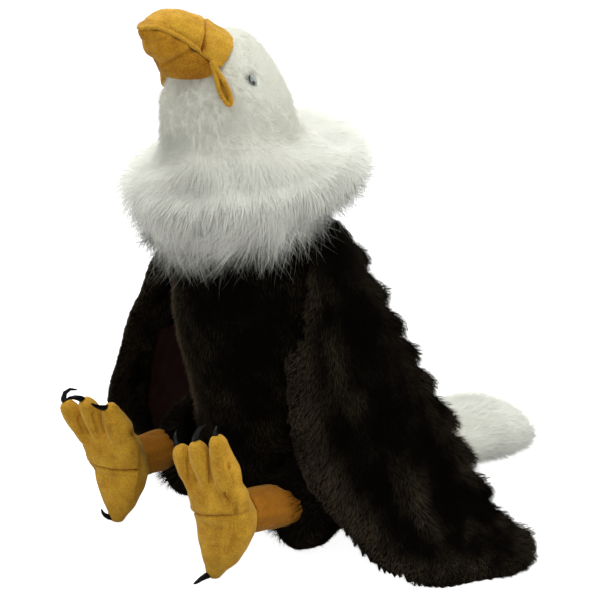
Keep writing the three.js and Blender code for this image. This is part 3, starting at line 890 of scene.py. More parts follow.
class WingShading:
    """Folds of a wing and the way its nap catches the light, by place on the panel."""

    def __init__(self, edges, side):
        self.edges = edges
        self.side = side

    def at(self, points):
        along, _ = self.edges.across(points)
        return along, by_maker(points)[2]

    def relief(self, points, facing):
        """How far the cloth stands out of its plain curve, in millimetres."""
        along, up = self.at(points)
        fold = wing_fold(along, up, 0.5, 0.06, 52, 34)
        valley = wing_fold(along, up, 0.66, 0.07, 52, 34)
        shoulder = hump(along - 0.3, 0.12) * hump(up - 170, 60)
        lobe = smooth_step(up, 52, 14)
        outer = smooth_step(facing[:, 0] * self.side, 0.0, 0.4)
        return outer * (3.2 * fold - 3.6 * valley + 1.8 * shoulder + 6.0 * lobe)

    def tone(self, points, seed):
        # Painted light: the front band, the streaks, the fold, the hem and the back rim are painted
        # highlights where the nap catches the light, and the valley and the middle are painted
        # shade. The mottle is the pile's own patchy tone.
        along, up = self.at(points)
        wander = 0.02 * drift(points, 0.05, seed)
        band = smooth_step(along + wander, 0.27, 0.13)
        fold = wing_fold(along, up, 0.5, 0.055, 52, 26)
        valley = wing_fold(along, up, 0.64, 0.07, 55, 34)
        streaks = hump(along - 0.33, 0.07) * hump(up - 162, 36)
        dark = hump(along - 0.55, 0.16) * smooth_step(up, 85, 130)
        hem = smooth_step(up, 26, 14)
        rim = smooth_step(along, 0.9, 1.0)
        mottle = 0.16 * drift(points, 0.045, seed + 1) + 0.1 * drift(points, 0.016, seed + 2)
        return (0.10 + mottle + 0.62 * band + 0.5 * fold - 0.3 * valley + 0.42 * streaks
                - 0.22 * dark + 0.32 * hem + 0.22 * rim)


def wing(name, side, seed):
    node, lining = f"wing_{name}", f"wing_lining_{name}"
    lattice = lattice_round([node], 3 * MM, 20 * MM)
    cells = lattice.distance(node)
    edges = WingEdges(lattice.skin(cells).points)
    spots = lattice.centres()
    along = edges.across(spots)[0].reshape(lattice.shape)
    up = by_maker(spots)[2].reshape(lattice.shape)
    front_rim = smooth_step(along, 0.14, 0.0)
    back_rim = smooth_step(along, 0.86, 1.0)
    depth = WING_DEPTH * (1 - 0.55 * front_rim - 0.8 * back_rim)
    sway = 7 * drift(spots, 0.08, seed + 9).reshape(lattice.shape)
    skin = lattice.skin(cells + depth - 4.2 * MM * lobes(up + sway) * back_rim)
    skin.relax(8)
    shading = WingShading(edges, side)
    facing = skin.normals()
    tree = solid_of(lining)
    gap = np.zeros(len(skin.points))
    for k, point in enumerate(skin.points):
        nearest, _, _, away = tree.find_nearest(Vector(point))
        toward = np.array(nearest) - point
        if away < 2.2 * WING_DEPTH and toward @ facing[k] > 0.6 * away:
            gap[k] = away - 0.6 * MM
    skin.push(gap)
    skin.relax(6)
    skin.push(MM * shading.relief(skin.points, facing))
    skin.push(1.0 * MM * drift(skin.points, 0.07, seed))
    skin.swell(place(*SHOULDERS[name]), 8 * MM, 24 * MM)
    skin.settle(WING_DEPTH, 50 * MM)
    ground = lay_cloth(skin, f"wing_{name}_body", BROWN_CLOTH, [node])

    def comb(roots):
        along, heading = edges.across(roots["at"])
        back = np.interp(along, (0.03, 0.2, 0.42, 0.8, 1.0), (-1.1, -0.5, 0.0, 0.35, 0.8))
        return down(roots) + heading * (back + 1.2 * facing_down(roots))[:, None]

    def tone(points):
        return shading.tone(points, seed + 1)

    def hidden(roots):
        lined = covered(roots, [lining], 3 * MM) | covered(roots, [lining], WING_DEPTH)
        along, up = shading.at(roots["at"])
        lined &= (along < LINING_END) & (up < LINING_TOP - 2)
        buried = covered(roots, ["trunk", f"thigh_{name}"], WING_DEPTH + 2 * MM, 4.5 * MM)
        return lined | buried | covered(roots, ["ruff"], WING_DEPTH + 2 * MM)

    def length(usual):
        def at(roots):
            along, up = shading.at(roots["at"])
            ends = 0.42 * smooth_step(along, 0.2, 0.04) - 0.35 * smooth_step(along, 0.6, 1.0)
            low = np.maximum(facing_down(roots), smooth_step(up, 36, 14))
            return usual * (1 - ends) * (1 - 0.45 * low * smooth_step(along, 0.95, 0.6))
        return at

    def hold(roots):
        return 0.2 + 0.4 * smooth_step(edges.across(roots["at"])[0], 0.75, 1.0)

    def lift(highest, lowest):
        def at(roots):
            along, up = shading.at(roots["at"])
            hem = smooth_step(up, 30, 8)
            flat = np.maximum(np.maximum(smooth_step(along, 0.3, 0.05), facing_down(roots)), hem)
            ragged = smooth_step(along, 0.8, 1.0)
            return (highest * (1 - 0.5 * flat + 0.2 * ragged), lowest * (1 - 0.8 * flat + ragged))
        return at

    layers = (56000, seed + 3, hidden, {}), (10500, seed + 4, hidden, {"hold": hold})
    add_plush(f"wing_{name}", ground, layers, length, lift, comb, tone)

    lattice = lattice_round([lining], 1.5 * MM, 6 * MM)
    spots = lattice.centres()
    past = np.maximum((edges.across(spots)[0] - LINING_END) * 0.15,
                      (by_maker(spots)[2] - LINING_TOP) * MM)
    sheet = lattice.skin(np.maximum(lattice.distance(lining), past.reshape(lattice.shape)))
    sheet.relax(12)
    sheet.push(0.7 * MM * drift(sheet.points * np.array([1, 1, 0.35]), 0.018, seed + 5))
    finish_piece(sheet.to_object(f"wing_{name}_lining"), LINING, [lining])


# ---- Head and ruff: one white form, short in the pile at the face and long on the ruff ----

HEAD_DEPTH = 2.2 * MM
RUFF_DEPTH = 12 * MM
# The ruff's cloth ends this far above its hem, and only its pile hangs below.
HEM = 12 * MM


def head_and_ruff():
    lattice = lattice_round(["head", "ruff"], 3 * MM, 45 * MM)
    collar, neck, chest = (lattice.distance(node) for node in ("ruff", "head", "trunk"))
    rise = round(HEM / lattice.cell)
    raised = np.full_like(collar, collar.max())
    raised[:, :, rise:] = collar[:, :, :-rise]
    collar = np.maximum(collar, raised)
    # Left of the throat the pile falls straight from the face on to the ruff.
    left, forward, _ = by_maker(lattice.centres())
    falls = smooth_step(0.67 * forward + 0.74 * left, 62, 104).reshape(neck.shape)
    whole = soft_min(np.minimum(collar, chest), neck, (24 + 34 * falls) * MM)
    depth = HEAD_DEPTH + (RUFF_DEPTH - HEAD_DEPTH) * smooth_step(neck, 2 * MM, 34 * MM)
    skin = lattice.skin(np.maximum(whole + depth, -chest - TRUNK_DEPTH))
    skin.relax(10)
    from_head = lattice.read(neck, skin.points)
    collared = smooth_step(from_head, 0, 14 * MM)
    skin.push(MM * (0.5 + 1.1 * collared) * drift(skin.points, 0.042, 31))
    # The top of the ruff is full, and fuller toward its rim.
    left, forward, _ = by_maker(skin.points)
    held = 0.9 * smooth_step(-left, -10, 30) * smooth_step(forward, 40, 80)
    behind = smooth_step(forward, 40, -10)
    rise = skin.normals()[:, 2]
    skin.push(MM * collared * (4 * (1 - held) * smooth_step(rise, 0.0, 0.6)
                               + 7 * behind * smooth_step(-rise, 0.2, 0.9)))
    skin.push(MM * 6.5 * smooth_step(from_head, 12 * MM, 40 * MM)
              * smooth_step(skin.normals()[:, 2], -0.75, 0.05))
    skin.relax(16)
    # The crown stands up behind the cere, and the nape and the throat's right side are padded.
    for spot, rise, width in (((12, 63, 416), 3.0, 12), ((44, 34, 362), 3.2, 24),
                              ((-27, 99, 366), 3.0, 13)):
        skin.swell(place(*spot), rise * MM, width * MM)
    # The throat is slack: soft dents run down it below the jaw.
    for path, press, width in (
        (path_of((-6, 106, 374), (-5, 107, 358), (-2, 109, 340)), 4.2, 13),
        (path_of((12, 107, 366), (20, 104, 350)), 2.0, 13),
        (path_of((28, 99, 368), (36, 93, 352)), 2.0, 13),
    ):
        skin.press(path, press * MM, width * MM)
    for eye in EYES.values():
        skin.swell(eye, -0.9 * MM, 6 * MM)
    ground = lay_cloth(skin, "head_and_ruff_body", WHITE_CLOTH,
                       ["head", "ruff"])
    middle = box_middle("ruff")
    ruff_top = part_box("ruff")[1].z

    def ruffed(roots):
        """How far the pile has passed from the head's short cut to the ruff's long one."""
        reach = lattice.read(neck, roots["at"])
        low = smooth_step(roots["at"][:, 2], ruff_top + 22 * MM, ruff_top - 10 * MM)
        return np.clip(smooth_step(reach, 1 * MM, 26 * MM) + 0.22 * low, 0, 1)

    def length(roots):
        return (4.6 + 20 * ruffed(roots) ** 1.2) * MM

    def lift(roots):
        top = smooth_step(roots["out"][:, 2], 0.2, 0.8)
        return 28 + 20 * top, 4 + 22 * top

    def comb(roots):
        away = unit((roots["at"] - middle) * np.array([1, 1, 0]))
        share = smooth_step(ruffed(roots), 0.15, 0.7)[:, None]
        sway = np.stack([drift(roots["at"], 0.045, 35 + k) for k in range(3)], axis=1)
        lie = np.array([0, 0.8, -0.8]) * (1 - share) + (away * 0.8 - np.array([0, 0, 1])) * share
        return lie + (0.12 + 0.2 * share) * sway

    def tone(points):
        return 0.55 + 0.1 * drift(points, 0.03, 33)

    face = ["beak_upper", "beak_cere", "beak_lower", "gape_left", "gape_right"]

    def unseen(roots):
        return (covered(roots, face, HEAD_DEPTH + 0.6 * MM) | covered(roots, face, 0.6 * MM)
                | covered(roots, ["eye_left", "eye_right"], 0.3 * MM)
                | covered(roots, ["trunk"], 6 * MM))

    def on_head(roots):
        gate = np.random.default_rng(39).random(len(roots["at"]))
        return unseen(roots) | (smooth_step(ruffed(roots), 0.12, 0.42) > gate)

    def on_ruff(roots):
        gate = np.random.default_rng(40).random(len(roots["at"]))
        return unseen(roots) | (smooth_step(ruffed(roots), 0.04, 0.3) < gate)

    short = {"length": length, "width": 0.36 * MM, "lift": (50, 24), "stray": 0.6, "hold": 0.3,
             "locks": 0.03, "rings": 1, "speckle": 0.05, "soft": 0.78}
    add_coat("head_pile", ground, 56000, 34, on_head, short, comb, tone,
             SHADED_HEAD_PILE)
    long = {"length": length, "width": 0.27 * MM, "lift": lift, "stray": 0.24, "ruffle": 4,
            "hold": 0.02, "locks": 0.02, "rings": 2, "sag": 0.3, "speckle": 0.02, "soft": 0.985}
    stray = dict(long, width=0.2 * MM, lift=(58, 30), stray=0.6, ruffle=12, sag=0.15)

    def above_hem(roots):
        front = (middle[1] + 0.1 - roots["at"][:, 1]) / 0.2
        hem = 0.330 - 0.05 * np.clip(front, 0, 1)
        return on_ruff(roots) | (roots["at"][:, 2] > hem)

    fringe = dict(long, length=38 * MM, lift=(26, 0), stray=0.55, ruffle=9,
                  hold=0.35, locks=0.15, rings=3, sag=0.7, soft=0.7)
    for label, count, seed, hidden, look, sheer in (
        ("ruff_pile", 20000, 44, on_ruff, long, False),
        ("ruff_outer_pile", 31000, 45, on_ruff, long, True),
        ("ruff_stray_pile", 5000, 48, on_ruff, stray, True),
        ("ruff_fringe", 7500, 46, above_hem, fringe, False),
    ):
        add_coat(label, ground, count, seed, hidden, look, comb, tone,
                 WHITE_PILE, sheer)


# ---- Tail ----

def tail():
    depth = 3 * MM
    skin = skin_of(["tail"], 3.5 * MM, depth)
    skin.push(1.0 * MM * drift(skin.points, 0.05, 51))
    ground = lay_cloth(skin, "tail_body", WHITE_CLOTH, ["tail"])

    def comb(roots):
        return np.array([0.18, 1, -0.12]) + 0 * roots["out"]

    def tone(points):
        return 0.5 + 0.12 * drift(points, 0.03, 53)

    def hidden(roots):
        return covered(roots, ["trunk", "wing_left", "wing_right"], depth + 3 * MM)

    look = {"length": 13 * MM, "width": 0.38 * MM, "lift": (30, 6), "stray": 0.3, "hold": 0.12,
            "locks": 0.04, "rings": 2, "sag": 0.1, "speckle": 0.02, "soft": 0.93}
    add_coat("tail_pile", ground, 11500, 54, hidden, look, comb, tone,
             WHITE_PILE)


# ---- Sewing: stitches laid along a seam ----

def field(function, low, high, cell):
    """A rounded form given by how far each place is outside it, inside a block of space."""
    lattice = Lattice(low, high, cell, 4 * cell, 2)
    cells = function(lattice.centres()).reshape(lattice.shape)
    return lattice.skin(np.clip(cells, -lattice.reach, lattice.reach))


def stitch_tree(thread):
    """Short round-ended stitches laid end to end along a path, with a gap between them."""
    tree = bpy.data.node_groups.new("stitches", "GeometryNodeTree")
    face = tree.interface
    face.new_socket("Geometry", in_out="INPUT", socket_type="NodeSocketGeometry")
    for label, value in (("Stitch length", 1.6 * MM), ("Gap", 0.9 * MM), ("Thread", 0.25 * MM)):
        face.new_socket(label, in_out="INPUT", socket_type="NodeSocketFloat").default_value = value
    face.new_socket("Geometry", in_out="OUTPUT", socket_type="NodeSocketGeometry")
    given = add_node(tree, "NodeGroupInput")
    curve = add_node(tree, "GeometryNodeMeshToCurve", {0: given["Geometry"]})
    pace = math_node(tree, "ADD", given["Stitch length"], given["Gap"])
    spread = add_node(tree, "GeometryNodeCurveToPoints", {"Curve": curve[0], "Length": pace},
                      mode="LENGTH")
    bead = add_node(tree, "GeometryNodeMeshUVSphere",
                    {"Segments": 6, "Rings": 4, "Radius": given["Thread"]})
    stretch = math_node(tree, "DIVIDE", given["Stitch length"], given["Thread"])
    shape = add_node(tree, "ShaderNodeCombineXYZ",
                     {0: 1, 1: 1, 2: math_node(tree, "MULTIPLY", stretch, 0.5)})
    laid = add_node(tree, "GeometryNodeInstanceOnPoints", {
        "Points": spread["Points"], "Rotation": spread["Rotation"],
        "Instance": bead["Mesh"], "Scale": shape[0]})
    real = add_node(tree, "GeometryNodeRealizeInstances", {0: laid[0]})
    finish = add_node(tree, "GeometryNodeSetMaterial", {0: real[0], "Material": thread})
    add_node(tree, "NodeGroupOutput", {0: finish[0]})
    return tree


def sew(name, paths, tree, sizes):
    """Sews stitches along some paths, and turns them into one plain mesh."""
    points = np.concatenate(paths)
    starts = np.cumsum([0] + [len(path) for path in paths[:-1]])
    edges = [[start + k, start + k + 1]
             for start, path in zip(starts, paths) for k in range(len(path) - 1)]
    mesh = bpy.data.meshes.new(name + "_path")
    mesh.from_pydata(points.tolist(), edges, [])
    guide = put_in_scene(name + "_path", mesh)
    modifier = guide.modifiers.new("stitches", "NODES")
    modifier.node_group = tree
    for item in tree.interface.items_tree:
        if item.item_type == "SOCKET" and item.in_out == "INPUT" and item.name in sizes:
            modifier[item.identifier] = sizes[item.name]
    bpy.context.view_layer.update()
    result = guide.evaluated_get(bpy.context.evaluated_depsgraph_get())
    piece = put_in_scene(name, bpy.data.meshes.new_from_object(result))
    piece.data.name = name
    guide.modifiers.clear()
    bpy.data.objects.remove(guide)
    piece.data.shade_smooth()
    return piece


# How finely a laid path is divided between its stops, and how far off the skin it starts.
STEPS = 8
STAND_OFF = 0.04


def onto(skin, path, toward, proud):
    """Lays a path on a skin, looking along the given direction, and smooths it between stops."""
    tree = BVHTree.FromPolygons(skin.points.tolist(), skin.quads.tolist())
    toward = Vector(toward).normalized()
    steps = np.linspace(0, len(path) - 1, STEPS * (len(path) - 1) + 1)
    smooth = np.stack([np.interp(steps, range(len(path)), path[:, k]) for k in range(3)], axis=1)
    laid = []
    for spot in smooth:
        found, facing, _, _ = tree.ray_cast(Vector(spot) - STAND_OFF * toward, toward)
        if found is not None:
            laid.append(np.array(found + facing * proud))
    return np.array(laid)


# ---- Beak, mouth corners and eyes ----

# The line where the jaw meets the upper beak: forward and up.
MOUTH_LINE = ((58, 386), (70, 389), (82, 392), (94, 398.7), (104, 408), (114, 416.1),
              (121.7, 421.6), (130.2, 425.7), (138.4, 424.8))


# The throat's pile covers the foot of the jaw, below this height.
JAW_FOOT = 386.4


def above_mouth(forward, up):
    return up - np.interp(forward, *zip(*MOUTH_LINE))


def ahead_of_cere(left, forward, up):
    """How far each place is forward of the seam that parts the cere from the rest of the beak."""
    return (forward - 79.3 - 0.62 * np.abs(left) + 0.305 * (up - 428)) / 1.216


def beak():
    fine = 0.8 * MM
    nodes = ["beak_upper", "beak_cere"]
    skin = skin_of(nodes, fine, 0.0, 1.2 * MM, 60)
    left, forward, up = by_maker(skin.points)
    above = above_mouth(forward, up)
    ahead = ahead_of_cere(left, forward, up)
    lip = 0.9 * hump(above - 1.4, 1.2) - 0.6 * hump(above - 4.0, 1.3)
    lip *= smooth_step(ahead, -2, 2)
    seam = 0.7 * hump(ahead - 3, 2.5) + 1.0 * hump(ahead + 3, 2.8) - 3.2 * hump(ahead, 1.2)
    skin.push(MM * (0.3 + lip + seam * smooth_step(above, 0.0, 2.0)))
    for side in (1, -1):
        fold = path_of((1, 132.5, 430.8), (5, 130.5, 431.4), (10, 127.5, 430.2),
                       (14, 123.5, 428.5), side=side)
        skin.press(fold, 0.6 * MM, 1.1 * MM)
        skin.press(fold - np.array([0, 0, 2.4 * MM]), -0.5 * MM, 1.4 * MM)
    skin.push(0.2 * MM * drift(skin.points, 0.014, 61))
    # Painted shade in the groove of the cere's seam and in the groove above the lip.
    painted_shade = (0.5 * hump(ahead, 0.9) * smooth_step(above, 0.0, 2.0)
               + 0.25 * hump(above - 4.0, 1.2) * smooth_step(ahead, -2, 2))
    lay_velour(skin, "beak_upper_velour", VELOUR, nodes, painted_shade)

    skin = skin_of(["beak_lower"], fine, rounds=60)
    left, forward, up = by_maker(skin.points)
    below = -above_mouth(forward, up)
    skin.push(MM * (0.1 - 0.7 * hump(below, 2.2)))
    for side in (1, -1):
        for path, depth, width in (
            (path_of((3.6, 122, 397.7), (10.4, 121.2, 400.2), (16.1, 118.7, 403.4),
                     (21, 114.2, 407.8), (24.3, 108.5, 410.8), side=side), 2.6, 2.8),
            (path_of((1, 133.4, 413.6), (3.8, 133.1, 414.3), (9.1, 130.4, 416.3),
                     (12.9, 126.5, 418.8), side=side), 1.8, 2.0),
            (path_of((6, 128, 406), (12, 125, 409), (17, 119, 412), side=side), -1.2, 4.0),
            (path_of((8, 119, 395), (17, 112, 395.5), (23, 105, 398), side=side), 1.2, 5.5),
        ):
            skin.press(skin.nearest(path), depth * MM, width * MM)
    skin.push(0.45 * MM * drift(skin.points, 0.017, 63))
    skin.keep_above(JAW_FOOT * MM)
    # Below the jaw's fold and along it the velour is darker: painted shade.
    left, _, up = by_maker(skin.points)
    behind = 397.7 + 0.63 * (np.abs(left) - 3.6) - up
    painted_shade = 0.22 * smooth_step(behind, -1, 2) + 0.3 * hump(behind, 1.3)
    lay_velour(skin, "beak_lower_velour", SHADED_JAW_VELOUR, ["beak_lower"], painted_shade)


# Each mouth corner is a loop of velour piping that hangs down the cheek round a narrow slit.
# Here are how far each loop's middle is from the toy's own, and its height.
CORNERS = {"left": (36, 384.5), "right": (32.5, 387.5)}
CORNER_FORWARD = 92.5
CORNER_HALF = 13.75


def mouth_corner(name, side):
    node = f"gape_{name}"
    away, height = CORNERS[name]
    middle = place(side * away, CORNER_FORWARD, height)
    out = unit(np.array([side * 0.8, -0.6, 0.1]))
    up = np.array([-side * 0.17, -0.33, 0.93])
    up = unit(up - out * (up @ out))
    across = np.cross(up, out)
    turns = np.linspace(0, 2 * math.pi, 41)
    rise = np.sin(turns)
    # The loop is a drop: its sides meet at the top and stand apart at the foot.
    spread = (3.5 - 2.4 * smooth_step(rise, -0.7, 1.0)) * MM
    reach = (CORNER_HALF + 2.9) * MM
    rim = np.stack([np.cos(turns) * spread, rise * reach, 0.3 * MM * rise], axis=1)

    def outside(points):
        """How far each place is outside the piping. It stands taller off the cheek than wide."""
        local = points - middle
        flat = np.stack([local @ across, local @ up, 0.68 * (local @ out)], axis=1)
        tube = distance_to_path(flat, rim) - 1.9 * MM
        heights = np.clip(flat[:, 1] / reach, -1, 1)
        wide = np.sqrt(1 - heights * heights) * 3 * MM
        web = np.maximum(np.abs(flat[:, 2] + 1.4 * MM) - 0.3 * MM, np.abs(flat[:, 0]) - wide)
        web = np.maximum(web, np.abs(flat[:, 1]) - reach)
        return soft_min(tube, web, 0.2 * MM)

    low, high = (np.array(c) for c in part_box(node))
    skin = field(outside, low - 3 * MM, high + 3 * MM, 0.45 * MM)
    skin.relax(6)
    skin.push(0.12 * MM * drift(skin.points, 0.006, 65))
    lay_velour(skin, node + "_velour", VELOUR, [node])


# The glass of an eye, from its pupil out to its rim.
EYE_SHADES = (
    (0.0, (0.003, 0.004, 0.004)), (0.34, (0.003, 0.004, 0.004)), (0.44, (0.14, 0.17, 0.16)),
    (0.66, (0.46, 0.52, 0.50)), (0.80, (0.10, 0.115, 0.11)), (0.88, (0.003, 0.003, 0.003)),
)


def eye_material():
    made, tree, shader = material("grey eye", 0.06)
    ramp = tree.nodes.new("ShaderNodeValToRGB")
    while len(ramp.color_ramp.elements) < len(EYE_SHADES):
        ramp.color_ramp.elements.new(0.5)
    for element, (spot, colour) in zip(ramp.color_ramp.elements, EYE_SHADES):
        element.position = spot
        element.color = (*colour, 1)
    feed(tree, ramp, {0: attribute(tree, "ring")})
    feed(tree, shader, {"Base Color": ramp.outputs[0], "Coat Weight": 1.0,
                        "Coat Roughness": 0.03})
    return made


# An eye's half sizes in millimetres, out from the head, across and tall, and how it leans back.
EYE_RADII = (2.9, 2.5, 5.6)
EYE_LEAN = math.radians(31)
EYE_ROWS, EYE_TURNS = 20, 36
# The grey of the eye is even from here out to its rim.
EYE_GREY = 0.7


def eyes():
    finish = eye_material()
    rows, turns = EYE_ROWS, EYE_TURNS
    for name, side in SIDES:
        node = f"eye_{name}"
        middle = box_middle(node)
        points, rings = [], []
        for row in range(rows + 1):
            polar = math.pi * row / rows
            for turn in range(turns):
                spin = 2 * math.pi * turn / turns
                across = EYE_RADII[1] * math.sin(polar) * math.cos(spin)
                tall = EYE_RADII[2] * math.sin(polar) * math.sin(spin)
                points.append([
                    side * EYE_RADII[0] * math.cos(polar),
                    across * math.cos(EYE_LEAN) - tall * math.sin(EYE_LEAN),
                    across * math.sin(EYE_LEAN) + tall * math.cos(EYE_LEAN)])
                # The pupil sits low and toward the front of the eye.
                from_pupil = 1.3 * math.hypot(math.sin(polar) * math.cos(spin) + 0.6,
                                              math.sin(polar) * math.sin(spin) + 0.1)
                rim = smooth_step(math.sin(polar), 0.93, 0.99) if row <= rows / 2 else 1.0
                rings.append(float(max(min(from_pupil, EYE_GREY), rim)))
        faces = []
        for row in range(rows):
            for turn in range(turns):
                a, b = row * turns + turn, row * turns + (turn + 1) % turns
                face = [a, a + turns, b + turns, b]
                faces.append(face if side > 0 else face[::-1])
        mesh = bpy.data.meshes.new(node)
        mesh.from_pydata((np.array(points) * MM + middle).tolist(), [], faces)
        mark_points(mesh, "ring", rings)
        merged = bmesh.new()
        merged.from_mesh(mesh)
        bmesh.ops.remove_doubles(merged, verts=merged.verts, dist=0.001 * MM)
        bmesh.ops.recalc_face_normals(merged, faces=merged.faces)
        merged.to_mesh(mesh)
        merged.free()
        mesh.shade_smooth()
        finish_piece(put_in_scene(node + "_glass", mesh), finish, [node])


# ---- Legs, feet and talons ----

# Soft creases and welts on each sole, as paths on its face: left, forward and up of each stop,
# then how deep (or, where negative, how proud) and how wide in millimetres.
FOOT_LINES = {
    "left": (
        ([(52.3, 144, 108), (52.3, 144, 97), (52.2, 144, 86)], 2.4, 1.5),
        ([(70.4, 137, 112), (70.6, 137, 101), (71.3, 138, 90)], 2.4, 1.5),
        ([(54, 143, 83), (60, 143, 78), (67, 141, 75), (71, 139, 84)], 1.0, 4.0),
        ([(44, 141, 92), (53, 143, 90)], 0.5, 1.3),
        ([(60, 143, 66), (74, 140, 67)], -0.7, 5.0),
        ([(62, 141, 50), (72, 138, 49), (80, 134, 52)], 0.9, 1.8),
        ([(60, 141, 44), (68, 139, 41), (76, 136, 43)], 0.8, 2.0),
        ([(68, 138, 33), (76, 134, 36)], 0.7, 1.8),
        ([(56, 139, 30), (62, 138, 26)], 0.6, 1.8),
        ([(57, 143, 112), (65, 141, 112)], 0.4, 1.2),
        ([(40, 144, 96), (48, 145, 97)], 0.4, 1.2),
        ([(74, 136, 98), (84, 133, 96)], 0.4, 1.6),
        ([(85, 124, 44), (79, 126, 22)], -4.5, 12.0),
        ([(89, 130, 98), (91, 128, 78)], -5.0, 11.0),
    ),
    "right": (
        ([(-69.5, 145, 102), (-69.5, 145, 93), (-69.5, 143, 82)], 2.4, 1.5),
        ([(-88.0, 147, 100), (-88.5, 147, 92), (-88.0, 145, 80)], 2.4, 1.5),
        ([(-84, 144, 74), (-76, 143, 70), (-68, 141, 70), (-69, 143, 80)], 1.0, 4.0),
        ([(-66, 139, 94), (-58, 136, 93)], 0.7, 1.3),
        ([(-67, 138, 87), (-60, 135, 86)], 0.6, 1.3),
        ([(-82, 142, 60), (-64, 139, 60)], -0.7, 5.0),
        ([(-84, 139, 44), (-74, 138, 42)], 0.6, 1.8),
        ([(-66, 135, 38), (-60, 131, 40)], 0.6, 1.8),
        ([(-88, 138, 46), (-94, 134, 40), (-92, 132, 30)], 1.6, 5.0),
        ([(-55, 119, 36), (-60, 122, 20)], -3.5, 11.0),
        ([(-50, 126, 90), (-48, 122, 72)], -5.5, 11.0),
    ),
}
# The gusset's seam down each foot's left side.
SIDE_SEAMS = {
    "left": [(86.3, 132.8, 105), (87, 131, 94), (86.2, 131.3, 84), (88.5, 129.5, 78),
             (88.5, 129.5, 66), (86, 128, 52), (80, 128, 34)],
    "right": [(-50.5, 125, 86), (-49, 121, 70), (-48.8, 119, 57), (-51, 119, 42), (-56, 121, 26)],
}
# The sewn crease across each sole: its middle, left and up, and its tilt in degrees.
CREASES = {"left": ((66, 59.5), 16), "right": ((-75, 51.5), 2)}
# Each leg's hip and ankle.
LEGS = {"left": ((75, 60, 47), (71, 104, 53)), "right": ((-76, 60, 47), (-74, 104, 50))}


def talon_material():
    made, tree, shader = material("black talon", 0.32, 0.12)
    shade = two_shades(tree, noise(tree, 0.004), (0.0012,) * 3, (0.004,) * 3)
    worn = math_node(tree, "ADD", 0.14, math_node(tree, "MULTIPLY", noise(tree, 0.002), 0.2))
    feed(tree, shader, {"Base Color": shade, "Roughness": worn})
    return made


def thread_material():
    made, tree, shader = material("golden thread", 0.6, 0.2)
    shade = two_shades(tree, noise(tree, 0.001), (0.22, 0.08, 0.006), (0.42, 0.18, 0.014))
    feed(tree, shader, {"Base Color": shade})
    return made


def foot(name, talon_finish, thread, stitches):
    toes = [f"toe_{name}_{toe}" for toe in (*TOES, "hind")]
    nodes = [f"foot_{name}", *toes]
    skin = skin_of(nodes, 0.9 * MM, 0.0, 1.0 * MM, 26)
    facing = skin.normals()
    left, _, up = by_maker(skin.points)
    (crease_left, crease_up), tip = CREASES[name]
    tip = math.radians(tip)
    over = (up - crease_up) * math.cos(tip) - (left - crease_left) * math.sin(tip)
    on_sole = smooth_step(-facing[:, 1], -0.1, 0.3)
    fold = -1.6 * hump(over, 1.2) + 0.9 * hump(over - 3.4, 2.4) + 0.6 * hump(over + 3.8, 2.6)
    skin.push(MM * (0.1 + fold * on_sole))
    # Painted shade darkens the velour in the sewn crease across the sole, and below in the creases,
    # the grooves beside the side seam and the seam's hole.
    painted_shade = 0.4 * hump(over, 1.2) * on_sole

    def crease(path, depth, width, shade):
        skin.press(path, depth * MM, width * MM)
        return np.maximum(painted_shade, shade * hump(distance_to_path(skin.points, path), width * MM))

    for stops, depth, width in FOOT_LINES[name]:
        painted_shade = crease(skin.nearest(path_of(*stops)), depth, width, 0.16 * max(depth, 0))
    seam = skin.nearest(path_of(*SIDE_SEAMS[name]))
    skin.press(seam, -1.5 * MM, 1.2 * MM)
    for shift in (2.6, -2.6):
        painted_shade = crease(seam + np.array([shift * MM, 0, 0]), 1.6, 1.4, 0.55)
    hole = seam[0] + np.array([0, 0, 2.5 * MM])
    painted_shade = crease(np.array([hole, hole - np.array([0, 0, 2.5 * MM])]), 2.6, 1.3, 1.0)
    skin.push(0.25 * MM * drift(skin.points, 0.016, 71))
    skin.keep_above(0)
    lay_velour(skin, f"foot_{name}_velour", VELOUR, nodes, painted_shade)

    across = np.linspace(-25, 25, 9)
    fold_line = path_of(*[(crease_left + a, 150, crease_up + a * math.tan(tip)) for a in across])
    seams = [onto(skin, fold_line, (0, 1, 0), 0.05 * MM), onto(skin, seam, (-1, 1, 0), 0.1 * MM)]
    sizes = {"Stitch length": 1.5 * MM, "Gap": 1.0 * MM, "Thread": 0.22 * MM}
    finish_piece(sew(f"foot_{name}_stitches", seams, stitches, sizes), thread)

    leg = skin_of([f"leg_{name}"], 1.2 * MM, rounds=16)
    hip, ankle = (place(*stop) for stop in LEGS[name])
    along = unit(ankle - hip)
    reach = (leg.points - hip) @ along
    # The leg goes on into the thigh's pile.
    leg.points -= along * (12 * MM * smooth_step(reach, reach.min() + 9 * MM, reach.min()))[:, None]
    leg.push(MM * (0.3 + 0.4 * drift(leg.points * np.array([1, 0.5, 1]), 0.012, 73)))
    lay_velour(leg, f"leg_{name}_velour", SHADED_LEG_VELOUR, [f"leg_{name}"])
    for toe in (*TOES, "hind"):
        node = f"talon_{name}_{toe}"
        talon = skin_of([node], 0.4 * MM, rounds=6)
        talon.push(0.25 * MM)
        talon.keep_above(0)
        finish_piece(talon.to_object(node + "_horn"), talon_finish, [node])


def feet():
    talon_finish = talon_material()
    thread = thread_material()
    stitches = stitch_tree(thread)
    for name, _ in SIDES:
        foot(name, talon_finish, thread, stitches)


# ---- Stage: camera, floor and lights ----

def look_at(made, where, aim):
    made.location = where
    made.rotation_euler = (Vector(aim) - made.location).to_track_quat("-Z", "Y").to_euler()


def for_camera(tree, strength):
    """Light that the camera sees, but that doesn't fall on the toy."""
    seen = add_node(tree, "ShaderNodeLightPath")["Is Camera Ray"]
    return math_node(tree, "MULTIPLY", seen, strength)


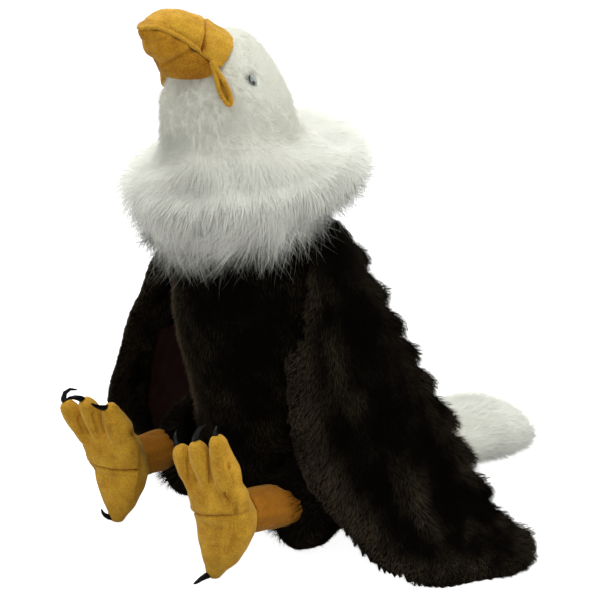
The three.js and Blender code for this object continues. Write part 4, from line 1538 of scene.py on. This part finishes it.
def stage():
    scene = bpy.context.scene
    aim = place(39.6, 17.7, 200)
    azimuth, elevation, distance = math.radians(48), math.radians(19), 1.3
    lens = bpy.data.cameras.new("camera")
    lens.sensor_width = 36
    lens.lens = 97.5
    lens.clip_end = 50
    scene.camera = put_in_scene("camera", lens)
    look_at(scene.camera, aim + distance * np.array([
        math.sin(azimuth) * math.cos(elevation), -math.cos(azimuth) * math.cos(elevation),
        math.sin(elevation)]), aim)

    half = 6.0
    mesh = bpy.data.meshes.new("floor")
    mesh.from_pydata([(-half, -half, 0), (half, -half, 0), (half, half, 0), (-half, half, 0)],
                     [], [(0, 1, 2, 3)])
    floor = put_in_scene("floor", mesh)
    paper, tree, shader = material("pale floor", 0.9, 0.1)
    feed(tree, shader, {"Base Color": (0.6, 0.6, 0.6, 1), "Emission Color": (1, 1, 1, 1),
                        "Emission Strength": for_camera(tree, 0.9)})
    floor.data.materials.append(paper)

    world = bpy.data.worlds.new("studio")
    scene.world = world
    world.use_nodes = True
    tree = world.node_tree
    # The room is bright behind the toy, and lights it only softly.
    feed(tree, tree.nodes["Background"], {
        "Color": (1, 1, 1, 1),
        "Strength": math_node(tree, "ADD", for_camera(tree, 0.9), 0.22)})

    # The small light is there for its bright spot on the glass of the left eye.
    for label, where, size, power in (
        ("eye light", (1.09, 0.46, 0.58), 0.16, 2),
        ("overhead light", (0, 0, 2.2), 1.2, 20),
        ("back light", (-1.2, 0.6, 1.6), 1.2, 17),
        ("front light", (0.3, -1.2, 1.9), 1.2, 6),
        ("right light", (-1.0, -1.1, 1.0), 1.2, 6.5),
        ("left light", (1.1, 1.2, 0.7), 1.2, 9),
        ("fill light", (0.9, -0.8, 0.9), 1.2, 4),
    ):
        light = bpy.data.lights.new(label, "AREA")
        light.size = size
        light.energy = power
        look_at(put_in_scene(label, light), where, aim)
    scene.view_settings.view_transform = "Standard"


stage()
trunk()
wing("left", 1, 100)
wing("right", -1, 120)
head_and_ruff()
tail()
beak()
for corner_name, corner_side in SIDES:
    mouth_corner(corner_name, corner_side)
eyes()
feet()
